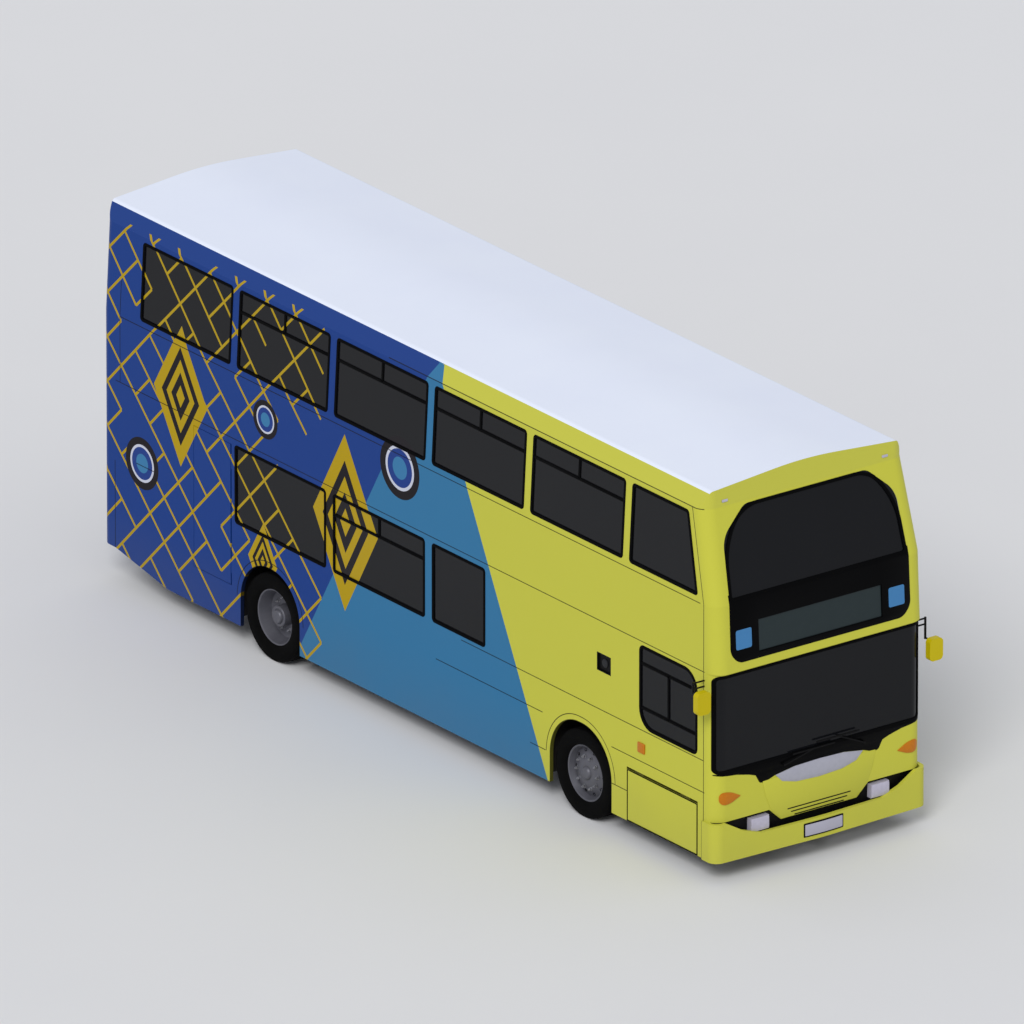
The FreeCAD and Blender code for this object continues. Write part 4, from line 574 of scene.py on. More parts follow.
# Zinc plated nuts, brighter than the wheel
PLATED_STEEL = Finish("zinc_plated_steel", "#A9A9AE", "#8F8F93", 0.3, patch_mm=12, grain_mm=3,
                      metallic=0.9)
# Moulded rubber cap, a little greyer than the gaskets
BODY_RUBBER = Finish("moulded_rubber_cap", "#1B1C1F", "#222326", 0.6, patch_mm=40, grain_mm=4,
                     grain_height_mm=0.1, specular=0.3)
# Moulded ABS, black and slightly grained
BLACK_ABS = Finish("black_moulded_abs", "#070708", "#0B0B0C", 0.5, patch_mm=80, grain_mm=4,
                   grain_height_mm=0.08, specular=0.12)
# Black enamel under gloss lacquer on the front's dark bands
BLACK_GLOSS = Finish("black_gloss_enamel", "#020203", "#040405", 0.3, grain_mm=12,
                     grain_height_mm=0.02, specular=0.05)
# Polished and lacquered cast alloy
BADGE_ALLOY = Finish("satin_cast_alloy", "#A6A6B2", "#B4B4C0", 0.36, patch_mm=50, grain_mm=3,
                     metallic=0.3)
# Hard coated polycarbonate over a bright reflector, pale and a little milky
LAMP_LENS = Finish("moulded_polycarbonate_lens", "#A8A4B5", "#BDB9CA", 0.2, patch_mm=40,
                   grain_mm=18, grain_height_mm=0.4, coat=0.5, glow=0.03)
# Amber acrylic with moulded prisms
AMBER_LENS = Finish("amber_acrylic_lens", "#C8780A", "#B86A06", 0.3, patch_mm=30, grain_mm=10,
                    grain_height_mm=0.5, coat=0.1, specular=0.2)
# Red acrylic with moulded prisms
RED_LENS = Finish("red_acrylic_lens", "#8E1412", "#A51E16", 0.16, patch_mm=30, grain_mm=10,
                  grain_height_mm=0.5, coat=0.8)
# Reflective sheet under clear acrylic, bare of any mark
PLATE_ACRYLIC = Finish("blank_plate_acrylic", "#A9A7B6", "#B0AEBD", 0.3, grain_mm=8)
# Yellow glass-fibre shells of the mirrors
MIRROR_SHELL = MirrorShell("yellow_gelcoat_shell", "#C8B704", "#C0AE05", 0.38, grain_mm=8,
                           specular=0.18)
# Silvered glass
MIRROR_GLASS = Finish("silvered_mirror_glass", "#B9BEC4", "#B9BEC4", 0.03, grain_mm=300,
                      metallic=1.0)
# The dark screen of the destination display, unlit
DISPLAY_GLASS = Finish("unlit_display_glass", "#212C2E", "#253032", 0.4, patch_mm=90, grain_mm=11,
                       grain_height_mm=0.1, specular=0.2)
# Cut vinyl film in sky blue
BLUE_VINYL = Finish("sky_blue_cut_vinyl", "#3D7DB2", "#3B78AC", 0.4, grain_mm=6, specular=0.3)
# Steel tube legs in silver grey powder coat
SEAT_STEEL = Finish("grey_powder_coated_steel", "#6F7176", "#66686D", 0.5, patch_mm=90, grain_mm=4,
                    grain_height_mm=0.1)
# The hard shells behind the cushions
SEAT_SHELL = Finish("blue_grey_moulded_shell", "#2B3345", "#2F384B", 0.48, patch_mm=120,
                    grain_mm=4, grain_height_mm=0.15)
# Retroreflective acrylic
RED_REFLECTOR = Finish("red_prismatic_reflector", "#A11512", "#B01A15", 0.2, patch_mm=10,
                       grain_mm=5, grain_height_mm=0.4, coat=0.6)
# Powder coated steel of the underframe
CHASSIS_STEEL = Finish("black_powder_coated_steel", "#141416", "#24211E", 0.6, patch_mm=150,
                       grain_mm=5, grain_height_mm=0.1)
# Rough sand casting
CAST_IRON = Finish("sand_cast_iron", "#2B2A2A", "#3A3532", 0.68, patch_mm=70, grain_mm=4,
                   grain_height_mm=0.4, metallic=0.4)
# Slip-proof vinyl with fine grit in it
FLOOR_VINYL = Finish("slip_proof_floor_vinyl", "#4B4C52", "#5A5B60", 0.7, patch_mm=12, grain_mm=4,
                     grain_height_mm=0.2)
# Grey laminate of the saloon's walls and cab
CAB_LAMINATE = Finish("grey_moulded_trim", "#4A4B50", "#505157", 0.55, grain_mm=5,
                      grain_height_mm=0.1)
# Yellow powder coated handrail
POLE_COAT = Finish("yellow_powder_coated_tube", "#C79A12", "#BE9110", 0.4, grain_mm=4)
# Bus seat cloth
MOQUETTE = WovenMoquette("blue_wool_moquette", "#27407E", "#1C2C5A", 0.85, grain_mm=3,
                         grain_height_mm=0.4, sheen=0.2)
# Pale studio floor
STUDIO_FLOOR = Finish("pale_studio_floor", "#E6E6E6", "#E2E2E3", 0.85, patch_mm=3000, grain_mm=40,
                      grain_height_mm=0.02)


# ---------------------------------------------------------------- the bench


class Element(Enum):
    """What is picked in edit mode."""

    VERTEX = "VERT"
    FACE = "FACE"


class Plane(Enum):
    """The plane that an outline is drawn in, by the axis across it and the axis out of it."""

    SIDE = (0, 1)
    FRONT = (1, 0)

    def spot(self, across: float, up: float, depth: float = 0.0) -> Vector:
        """The place of a point of the plane."""
        place = Vector((0.0, 0.0, up))
        place[self.value[0]], place[self.value[1]] = across, depth
        return place


def focus(*items: bpy.types.Object) -> None:
    """Leave only these objects selected, in object mode, with the last one active."""
    if bpy.context.object and bpy.context.object.mode != "OBJECT":
        bpy.ops.object.mode_set(mode="OBJECT")
    for item in bpy.context.view_layer.objects:
        item.select_set(item in items)
    if items:
        bpy.context.view_layer.objects.active = items[-1]


class Workpiece:
    """A mesh on the bench, shaped by edit-mode steps in the frame's own places."""

    def __init__(self, item: bpy.types.Object) -> None:
        """Take an object onto the bench."""
        self.item = item

    def named(self, name: str) -> "Workpiece":
        """Give the piece and its mesh a name."""
        self.item.name = self.item.data.name = name
        return self

    @classmethod
    def fresh(cls, name: str) -> "Workpiece":
        """Take the primitive that was just added, with its place put into its mesh."""
        bpy.ops.object.transform_apply(location=True, rotation=True, scale=True)
        return cls(bpy.context.object).named(name)

    @classmethod
    def outline(cls, name: str, plane: Plane, corners: Sequence[Corner], depth: float = 0.0
                ) -> "Workpiece":
        """Draw a flat face through plain or rounded corners.

        Args:
            name: The piece's name.
            plane: The plane to draw in.
            corners: Each (across, up) or (across, up, radius).
            depth: The place of the plane along its normal.

        Returns:
            The piece with its face.
        """
        focus()
        bpy.ops.mesh.primitive_circle_add(vertices=len(corners), radius=1, fill_type="NGON")
        piece = cls.fresh(name)
        for vertex, corner in zip(piece.item.data.vertices, corners):
            vertex.co = plane.spot(*corner[:2], depth)
        with piece.edit():
            for corner in corners:
                if len(corner) < 3:
                    continue
                spot = plane.spot(*corner[:2], depth)
                piece.pick(Element.VERTEX, lambda place, _: (place - spot).length < SAME_SPOT)
                bpy.ops.mesh.bevel(offset=corner[2], segments=CORNER_EDGES, affect="VERTICES")
        return piece

    @classmethod
    def block(cls, name: str, low: Sequence[float], high: Sequence[float]) -> "Workpiece":
        """Add a block between two corners, to be shaped further."""
        focus()
        low_corner, high_corner = Vector(low), Vector(high)
        bpy.ops.mesh.primitive_cube_add(size=1, location=(low_corner + high_corner) / 2,
                                        scale=high_corner - low_corner)
        return cls.fresh(name)

    @classmethod
    def turned(cls, name: str, centre: Sequence[float], axis: Sequence[float],
               stations: Stations, sides: int, closed: bool = True) -> "Workpiece":
        """Turn a piece: a circle drawn out through stations along an axis.

        Args:
            name: The piece's name.
            centre: The axis's starting place.
            axis: The axis's direction.
            stations: Each (distance along the axis, radius).
            sides: The sides of the circle.
            closed: True for a solid with end faces, False for a ring that closes on itself.

        Returns:
            The turned piece.
        """
        focus()
        bpy.ops.mesh.primitive_circle_add(vertices=sides, radius=stations[0][1],
                                          location=(0, 0, stations[0][0]),
                                          fill_type="NGON" if closed else "NOTHING")
        piece = cls.fresh(name)
        with piece.edit(select=True):
            for before, after in zip(stations, stations[1:]):
                bpy.ops.mesh.extrude_region_move(
                    TRANSFORM_OT_translate={"value": (0, 0, after[0] - before[0])})
                ratio = after[1] / before[1]
                bpy.ops.transform.resize(value=(ratio, ratio, 1), center_override=(0, 0, after[0]))
            bpy.ops.mesh.select_all(action="SELECT")
            bpy.ops.mesh.remove_doubles(threshold=MERGED)
            bpy.ops.mesh.normals_make_consistent(inside=False)
        turn = Vector((0, 0, 1)).rotation_difference(Vector(axis)).to_matrix().to_4x4()
        piece.item.data.transform(Matrix.Translation(Vector(centre)) @ turn)
        return piece

    @contextmanager
    def edit(self, select: bool = False) -> Iterator[None]:
        """Open the piece in edit mode, with all of it selected if asked, and close it again."""
        focus(self.item)
        bpy.ops.object.mode_set(mode="EDIT")
        try:
            if select:
                bpy.ops.mesh.select_all(action="SELECT")
            yield
        finally:
            bpy.ops.object.mode_set(mode="OBJECT")

    def pick(self, element: Element, test: Callable[[Vector, Vector], bool]) -> None:
        """Pick elements, in edit mode, by a test of their middle and their normal."""
        bpy.ops.mesh.select_mode(type=element.value)
        bpy.ops.mesh.select_all(action="DESELECT")
        mesh = bmesh.from_edit_mesh(self.item.data)
        for row in mesh.verts if element is Element.VERTEX else mesh.faces:
            middle = row.co if element is Element.VERTEX else row.calc_center_median()
            if test(middle, row.normal):
                row.select_set(True)
        mesh.select_flush_mode()
        bmesh.update_edit_mesh(self.item.data)

    def ring(self, width: float) -> "Workpiece":
        """Leave only a band of that width round the outline's face."""
        with self.edit():
            bpy.ops.mesh.select_mode(type="FACE")
            bpy.ops.mesh.select_all(action="SELECT")
            bpy.ops.mesh.inset(thickness=width, depth=0, use_even_offset=True)
            bpy.ops.mesh.delete(type="FACE")
        return self

    def slice(self, axis: Sequence[float], places: Sequence[float]) -> "Workpiece":
        """Cut lines across the piece, so that it can bend there."""
        with self.edit():
            for place in places:
                bpy.ops.mesh.select_all(action="SELECT")
                bpy.ops.mesh.bisect(plane_co=Vector(axis) * place, plane_no=axis)
        return self

    def form(self, place: Callable[[Vector], Vector]) -> "Workpiece":
        """Lay the piece on a form, vertex by vertex."""
        for vertex in self.item.data.vertices:
            vertex.co = place(vertex.co.copy())
        return self

    def apply(self, kind: str, **settings: object) -> "Workpiece":
        """Finish the piece with a modifier and apply it."""
        modifier = self.item.modifiers.new(kind.title(), kind)
        for name, value in settings.items():
            setattr(modifier, name, value)
        focus(self.item)
        bpy.ops.object.modifier_apply(modifier=modifier.name)
        return self

    def thicken(self, thickness: float, outward: Sequence[float]) -> "Workpiece":
        """Give a sheet its thickness on its outer side.

        Args:
            thickness: The thickness to add.
            outward: Roughly the way out of the object.

        Returns:
            This piece.
        """
        faces = self.item.data.polygons
        if sum((face.normal * face.area for face in faces), Vector()).dot(Vector(outward)) < 0:
            with self.edit(select=True):
                bpy.ops.mesh.flip_normals()
        return self.apply("SOLIDIFY", thickness=thickness, offset=1.0, use_even_offset=True)

    def soften(self, width: float) -> "Workpiece":
        """Round the piece's edges, or leave them sharp for a width of 0."""
        return self.apply("BEVEL", width=width, segments=2, limit_method="ANGLE",
                          angle_limit=SOFT_ANGLE) if width else self

    def copied(self, name: str, matrix: Matrix) -> "Workpiece":
        """Copy the piece with its own mesh, moved by a matrix."""
        item = self.item.copy()
        item.data = self.item.data.copy()
        item.data.transform(matrix)
        bpy.context.scene.collection.objects.link(item)
        return Workpiece(item).named(name)

    def around(self, count: int) -> "Workpiece":
        """Copy the piece round the Y axis to so many places, and join them."""
        return self.joined([self.copied(f"copy_{index}",
                                        Matrix.Rotation(math.tau * index / count, 4, "Y"))
                            for index in range(1, count)])

    def joined(self, others: Sequence["Workpiece"]) -> "Workpiece":
        """Join other pieces into this one."""
        if others:
            focus(*[other.item for other in others], self.item)
            bpy.ops.object.join()
        return self

    def finish(self, finish: Finish, slot: str, body: str = BODY, smooth: float = SMOOTH
               ) -> bpy.types.Object:
        """Dress the piece and set it on its body.

        Args:
            finish: The finish of its surface.
            slot: The record's slot for the piece, which is not used.
            body: The body that carries it.
            smooth: The greatest angle that is shaded smooth, in degrees.

        Returns:
            The finished object.
        """
        focus(self.item)
        self.item.data.materials.clear()
        self.item.data.materials.append(finish.material())
        bpy.ops.object.shade_smooth_by_angle(angle=math.radians(smooth))
        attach(self.item, body)
        LOG.info("%s: %d faces on %s", self.item.name, len(self.item.data.polygons), body)
        return self.item


def whole(name: str, pieces: Sequence[Workpiece]) -> Workpiece:
    """Join pieces into one with a name."""
    return pieces[0].joined(pieces[1:]).named(name)


def box_corners(left: float, right: float, low: float, high: float, radius: float = 0.0,
                gap: float = 0.0) -> list[Corner]:
    """The corners of a plain or rounded rectangle, anticlockwise, within a gap."""
    left, right, low, high = left + gap, right - gap, low + gap, high - gap
    corners = [(left, low), (right, low), (right, high), (left, high)]
    return [corner + (radius,) for corner in corners] if radius else corners


def spot_corners(across: float, up: float, half: float, half_up: float, radius: float
                 ) -> list[Corner]:
    """The corners of a rounded rectangle about its middle."""
    return box_corners(across - half, across + half, up - half_up, up + half_up, radius)


# ---------------------------------------------------------------- the body's form


class Side(Enum):
    """The two sides of the bus."""

    OFFSIDE = -1
    NEARSIDE = 1


@dataclass(frozen=True)
class BodyForm:
    """The outer skin of the body, as places across its levels."""

    half: float = 1.275
    top_half: float = 1.225
    mid: float = 2.165
    waist: float = 2.86
    cantrail: float = 3.79
    lower_face: float = 4.946
    face: float = 4.976
    waist_face: float = 4.938
    top_face: float = 4.705
    front_corner: float = 0.15
    rear: float = -5.03
    rear_corner: float = 0.12
    most_reach: float = 0.999

    def between(self, z: float, stations: Stations) -> float:
        """Read a value between levels.

        Args:
            z: The height.
            stations: The (height, value) pairs, from low to high.

        Returns:
            The value there.
        """
        if z <= stations[0][0]:
            return stations[0][1]
        for (low, first), (high, last) in zip(stations, stations[1:]):
            if z <= high:
                return first + (last - first) * (z - low) / (high - low)
        return stations[-1][1]

    def side(self, z: float) -> float:
        """The half width of the skin at a height."""
        return self.between(z, ((self.waist, self.half), (self.cantrail, self.top_half)))

    def corner_drop(self, y: float, half: float, radius: float) -> float:
        """How far a corner rounds back from its face at a place across."""
        reach = min(abs(y) - (half - radius), radius * self.most_reach)
        return 0.0 if reach <= 0 else radius - math.sqrt(radius ** 2 - reach ** 2)

    def lay_front(self, place: Vector) -> Vector:
        """Lay a point on the front, its X kept as its stand off the skin.

        Args:
            place: The point.

        Returns:
            Its place on the bus.
        """
        face = self.lower_face if place.z < self.mid else self.between(
            place.z, ((self.mid, self.face), (self.waist, self.waist_face),
                      (self.cantrail, self.top_face)))
        drop = self.corner_drop(place.y, self.side(place.z), self.front_corner)
        return Vector((face - drop + place.x, place.y, place.z))

    def lay_rear(self, place: Vector) -> Vector:
        """Lay a point on the rear, its X kept as its stand off the skin."""
        drop = self.corner_drop(place.y, self.side(place.z), self.rear_corner)
        return Vector((self.rear + drop - place.x, place.y, place.z))

    def lay_side(self, side: Side, place: Vector) -> Vector:
        """Lay a point on a side, its Y kept as its stand off the skin."""
        return Vector((place.x, side.value * (self.side(place.z) + place.y), place.z))


@dataclass(frozen=True)
class BumperForm:
    """The outer skin of the front bumper, crowned across its face."""

    front: float = 5.03
    corner: float = 4.986
    half: float = 1.3
    crown_radius: float = 2.5
    crown_back: float = 0.0004
    corner_radius: float = 0.11

    def lay(self, place: Vector) -> Vector:
        """Lay a point on the bumper, its X kept as its stand off the skin.

        Args:
            place: The point.

        Returns:
            Its place on the bus.
        """
        across = abs(place.y)
        flat = self.front - (self.front - self.corner) / self.half * across
        crown = self.front - self.crown_back - across ** 2 / (2 * self.crown_radius)
        reach = max(0.0, across - (self.half - self.corner_radius))
        drop = self.corner_radius - math.sqrt(max(0.0, self.corner_radius ** 2 - reach ** 2))
        return Vector((min(flat, crown) - drop + place.x, place.y, place.z))


@dataclass(frozen=True)
class Gauge:
    """What a sheet is cut from, and how it sits.

    A width of 0 leaves a whole sheet in place of a band, and a soft of 0 leaves its edges sharp.
    The stand is how far its back stands off the skin, or its place on a plain plane.
    """

    thickness: float
    stand: float = 0.0
    width: float = 0.0
    soft: float = 0.0015


@dataclass(frozen=True)
class Skin:
    """A face that flat pieces are laid on: its plane, its way out, its form and its bends."""

    plane: Plane
    outward: Corner
    lay: Callable[[Vector], Vector] = Vector
    bends: tuple[tuple[Corner, Corner], ...] = ()

    def sheet(self, name: str, corners: Sequence[Corner], gauge: Gauge) -> Workpiece:
        """Cut a sheet or a band to an outline and lay it on the skin.

        Args:
            name: The piece's name.
            corners: Its outline.
            gauge: Its thickness, stand, width and softness.

        Returns:
            The piece, ready for its finish.
        """
        piece = Workpiece.outline(name, self.plane, corners, gauge.stand)
        if gauge.width:
            piece.ring(gauge.width)
        for axis, places in self.bends:
            piece.slice(axis, places)
        return piece.form(self.lay).thicken(gauge.thickness, self.outward).soften(gauge.soft)


FORM = BodyForm()
# How far the backs of the gaskets lie under the skin
GASKET_BACK = -0.008
UP, ACROSS, AHEAD, BEHIND = (0, 0, 1), (0, 1, 0), (1, 0, 0), (-1, 0, 0)
FRONT = Skin(Plane.FRONT, AHEAD, FORM.lay_front, (
    (ACROSS, (-1.243, -1.23, -1.215, -1.195, -1.165, -1.125,
              1.125, 1.165, 1.195, 1.215, 1.23, 1.243)), (UP, (FORM.mid, FORM.waist))))
BUMPER = Skin(Plane.FRONT, AHEAD, BumperForm().lay,
              ((ACROSS, (-0.18, -0.12, -0.06, 0.0, 0.06, 0.12, 0.18)),))
REAR = Skin(Plane.FRONT, BEHIND, FORM.lay_rear)
SIDES = {side: Skin(Plane.SIDE, (0, side.value, 0), partial(FORM.lay_side, side))
         for side in Side}
OFFSIDE_PLANE, NEARSIDE_PLANE = [Skin(Plane.SIDE, (0, side.value, 0)) for side in Side]
FRONT_PLANE, REAR_PLANE = [Skin(Plane.FRONT, way) for way in (AHEAD, BEHIND)]


# ---------------------------------------------------------------- sub-assemblies


@dataclass(frozen=True)
class Window:
    """A side window: its corners, its rails' levels, and its mullion's foot and head."""

    corners: Sequence[Corner]
    rails: Corner = ()
    mullion: Corner = ()
    rail_inset: float = 0.01

    def bars(self, half: float) -> list[list[Corner]]:
        """Outline the bars of the frame.

        Args:
            half: Half a bar's width.

        Returns:
            Each bar's corners, the rails first.
        """
        left, right = [most(corner[0] for corner in self.corners) for most in (min, max)]
        bars = [box_corners(left + self.rail_inset, right - self.rail_inset, level - half,
                            level + half) for level in self.rails]
        if self.mullion:
            middle = (left + right) / 2
            bars.append(box_corners(middle - half, middle + half, *self.mullion))
        return bars


@dataclass
class SideWindows:
    """The rubber gaskets, hopper rails and mullions of both decks' side windows."""

    gasket: Gauge = Gauge(0.012, GASKET_BACK, 0.034, 0.003)
    bar: Gauge = Gauge(0.0096, GASKET_BACK, soft=0.002)
    bar_half: float = 0.015
    gap: float = 0.0004
    corner: float = 0.045
    mullion_inset: float = 0.005
    upper_levels: tuple[float, float] = (2.92, 3.74)
    upper_start: float = -4.39
    upper_pitch: float = 1.594
    upper_length: float = 1.494
    upper_count: int = 5
    upper_rail: float = 3.51
    quarter_end: float = 4.685
    quarter_rake: float = 0.205
    lower_levels: tuple[float, float] = (1.28, 2.11)
    lower_rail: float = 1.89
    lower_start: float = -2.83
    lower_pillar: float = 0.11
    offside_lengths: tuple[float, ...] = (1.505, 1.505, 0.87)
    nearside_lengths: tuple[float, ...] = (1.4475,) * 4
    lower_hoppers: tuple[tuple[int, ...], ...] = ((1,), (1, 2))
    driver: tuple[float, float, float, float] = (3.75, 4.685, 1.26, 2.13)
    driver_radii: tuple[float, ...] = (0.21, 0.07, 0.21, 0.07)
    driver_rails: tuple[float, float] = (1.935, 1.475)
    driver_mullion: tuple[float, float] = (1.475, 1.94)

    def pane(self, start: float, length: float, levels: tuple[float, float],
             rail: Optional[float]) -> Window:
        """Give a plain window, or one with a hopper over its rail.

        Args:
            start: Its rear end.
            length: Its length.
            levels: Its foot and its head.
            rail: The rail's level, if it has one.

        Returns:
            The window.
        """
        corners = box_corners(start, start + length, *levels, self.corner, self.gap)
        if rail is None:
            return Window(corners)
        return Window(corners, (rail,), (rail, levels[1] - self.mullion_inset))

    def upper(self) -> list[Window]:
        """List the upper deck's windows of one side.

        Returns:
            The windows, from the rear.
        """
        starts = [self.upper_start + self.upper_pitch * index
                  for index in range(self.upper_count + 1)]
        windows = [self.pane(start, self.upper_length, self.upper_levels,
                             self.upper_rail if index else None)
                   for index, start in enumerate(starts[:-1])]
        quarter = box_corners(starts[-1], self.quarter_end, *self.upper_levels, self.corner)
        quarter[2] = (self.quarter_end - self.quarter_rake, *quarter[2][1:])
        return windows + [Window(quarter)]

    def lower(self, side: Side) -> list[Window]:
        """List the lower deck's windows of a side.

        Args:
            side: The side.

        Returns:
            The windows, from the rear, with the driver's at the end.
        """
        offside = side is Side.OFFSIDE
        windows, start = [], self.lower_start
        for index, length in enumerate(self.offside_lengths if offside
                                       else self.nearside_lengths):
            hopper = index in self.lower_hoppers[0 if offside else 1]
            windows.append(self.pane(start, length, self.lower_levels,
                                     self.lower_rail if hopper else None))
            start += length + self.lower_pillar
        if offside:
            corners = [corner + (radius,) for corner, radius in zip(
                box_corners(*self.driver, gap=self.gap), self.driver_radii)]
            windows.append(Window(corners, self.driver_rails, self.driver_mullion))
        return windows

    def frame_of(self, name: str, window: Window, skin: Skin) -> Workpiece:
        """Build a window's gasket and bars.

        Args:
            name: The piece's name.
            window: The window.
            skin: The side it is on.

        Returns:
            The gasket with its bars.
        """
        bars = [skin.sheet(f"{name}_bar_{index}", corners, self.bar)
                for index, corners in enumerate(window.bars(self.bar_half))]
        return whole(name, [skin.sheet(name, window.corners, self.gasket), *bars])

    def build(self) -> None:
        """Build the gaskets of every side window."""
        for side in Side:
            tag = side.name.lower()
            for deck, windows in (("upper", self.upper()), ("lower", self.lower(side))):
                frames = [self.frame_of(f"{deck}_gasket_{tag}_{index}", window, SIDES[side])
                          for index, window in enumerate(windows)]
                whole(f"{deck}_window_gaskets_{tag}", frames).finish(GASKET_RUBBER,
                                                                     f"glazing_{deck}")


@dataclass
class FrontFace:
    """What the front carries: screen gaskets, dark bands, badge, grille, lamps and plate."""

    upper: str = "front_upper_moulding"
    lower: str = "front_lower_moulding"
    upper_screen: tuple[Corner, ...] = (
        (-1.0795, 2.8805, 0.06), (1.0795, 2.8805, 0.06), (1.0445, 3.5, 0.28),
        (0.7395, 3.7645, 0.15), (-0.7395, 3.7645, 0.15), (-1.0445, 3.5, 0.28))
    lower_screen: Corner = (-1.2495, 1.2495, 1.1205, 2.1445, 0.06)
    surround: tuple[Corner, ...] = (
        (-1.0, 2.25, 0.06), (1.0, 2.25, 0.06), (1.09, 2.36, 0.05), (1.0868, 2.955),
        (1.064, 2.955), (1.05, 2.9), (-1.05, 2.9), (-1.064, 2.955), (-1.0868, 2.955),
        (-1.09, 2.36, 0.05))
    upper_gasket: Gauge = Gauge(0.013, GASKET_BACK, 0.034)
    lower_gasket: Gauge = Gauge(0.010, GASKET_BACK, 0.032)
    band: Gauge = Gauge(0.004, soft=0.001)
    reveal: Gauge = Gauge(0.0076, -0.0078, 0.006, 0.0)
    film: Gauge = Gauge(0.001, 0.004, soft=0.0)
    scuttle_sheet: Gauge = Gauge(0.003, soft=0.0008)
    nose_sheet: Gauge = Gauge(0.005, soft=0.004)
    slot_sheet: Gauge = Gauge(0.0015, 0.0045, soft=0.0)
    plate_sheet: Gauge = Gauge(0.006, 0.006)
    holder_sheet: Gauge = Gauge(0.008, -0.002)
    indicator_lens: Gauge = Gauge(0.009, -0.001, soft=0.003)
    headlamp_lens: Gauge = Gauge(0.008, 4.9663, soft=0.003)
    marker_lens: Gauge = Gauge(0.008, soft=0.002)
    display_half: float = 0.748
    display_levels: tuple[float, float] = (2.312, 2.643)
    reveal_gap: float = 0.0015
    signs: tuple[float, float] = (-0.928, 0.924)
    sign: Corner = (2.485, 0.095, 0.1, 0.02)
    scuttle: tuple[Corner, ...] = (
        (-1.245, 1.112), (-1.0, 1.083), (-0.85, 1.048), (-0.77, 1.02), (-0.72, 0.93, 0.02),
        (-0.66, 0.925), (-0.53, 0.968), (-0.3, 1.005), (0.0, 1.010), (0.3, 1.005),
        (0.53, 0.968), (0.66, 0.925), (0.72, 0.93, 0.02), (0.77, 1.02), (0.85, 1.048),
        (1.0, 1.083), (1.245, 1.112), (1.245, 1.122), (-1.245, 1.122))
    nose: tuple[Corner, ...] = (
        (-0.685, 0.937), (-0.655, 0.80), (-0.592, 0.635), (-0.457, 0.492), (0.457, 0.492),
        (0.592, 0.635), (0.655, 0.80), (0.685, 0.937), (0.6, 0.94), (-0.6, 0.94))
    badge_rim: tuple[Corner, ...] = (
        (-0.53, 0.966), (-0.45, 0.885), (-0.28, 0.84), (0.0, 0.826), (0.28, 0.84),
        (0.45, 0.885), (0.53, 0.966), (0.3, 1.003), (0.0, 1.012), (-0.3, 1.003))
    badge_dome: tuple[Corner, ...] = ((0.006, 1.0, 1.0), (0.005, 0.97, 0.9), (0.005, 0.9, 0.8),
                                      (0.003, 0.8, 0.7))
    badge_middle: float = 0.925
    badge_smooth: float = 50.0
    drop: tuple[Corner, ...] = ((0.95, 0.858, 0.012), (1.09, 0.797, 0.05), (1.2, 0.806, 0.055),
                                (1.2, 0.934, 0.05), (1.08, 0.925, 0.05))
    slots: Stations = ((0.577, 0.384), (0.54, 0.342), (0.503, 0.30))
    slot: tuple[float, float] = (0.006, 0.005)
    headlamp: Corner = (0.73, 0.515, 0.108, 0.068, 0.022)
    marker: Corner = (0.97, 3.8485, 0.035, 0.0135, 0.008)
    plate: Corner = (-0.225, 0.225, 0.277, 0.392, 0.008)
    holder: Corner = (-0.24, 0.24, 0.262, 0.407, 0.01)

    def screens(self) -> None:
        """Build the gaskets of both screens."""
        for deck, corners, gauge in (
                ("upper", self.upper_screen, self.upper_gasket),
                ("lower", box_corners(*self.lower_screen), self.lower_gasket)):
            FRONT.sheet(f"{deck}_screen_gasket", corners, gauge).finish(GASKET_RUBBER,
                                                                        f"windscreen_{deck}")

    def dark_bands(self) -> None:
        """Build the black band round the display and the scuttle under the lower screen."""
        half, (low, high) = self.display_half, self.display_levels
        piece = Workpiece.outline("display_surround", Plane.FRONT, self.surround)
        piece.slice(UP, (low, high, FORM.waist)).slice(ACROSS, (-half, half))
        with piece.edit():
            piece.pick(Element.FACE, lambda place, _: abs(place.y) < half and low < place.z < high)
            bpy.ops.mesh.delete(type="FACE")
        piece.form(FORM.lay_front).thicken(self.band.thickness, AHEAD).soften(self.band.soft)
        piece.finish(BLACK_GLOSS, self.upper)
        reveal = box_corners(-half, half, low, high, gap=-self.reveal_gap)
        FRONT.sheet("display_reveal", reveal, self.reveal).finish(BLACK_GLOSS, self.upper)
        for index, middle in enumerate(self.signs):
            FRONT.sheet(f"blank_sign_{index}", spot_corners(middle, *self.sign),
                        self.film).finish(BLUE_VINYL, self.upper)
        FRONT.sheet("scuttle_panel", self.scuttle, self.scuttle_sheet).finish(BLACK_GLOSS,
                                                                              self.lower)

    def badge(self) -> None:
        """Build the bare lens-shaped badge, domed step by step."""
        piece = Workpiece.outline("bonnet_badge", Plane.FRONT, self.badge_rim)
        with piece.edit(select=True):
            for rise, wide, high in self.badge_dome:
                bpy.ops.mesh.extrude_region_move(TRANSFORM_OT_translate={"value": (rise, 0, 0)})
                bpy.ops.transform.resize(value=(1, wide, high),
                                         center_override=(0, 0, self.badge_middle))
            bpy.ops.mesh.select_all(action="SELECT")
            bpy.ops.mesh.normals_make_consistent(inside=False)
        piece.form(FORM.lay_front).finish(BADGE_ALLOY, self.lower, smooth=self.badge_smooth)

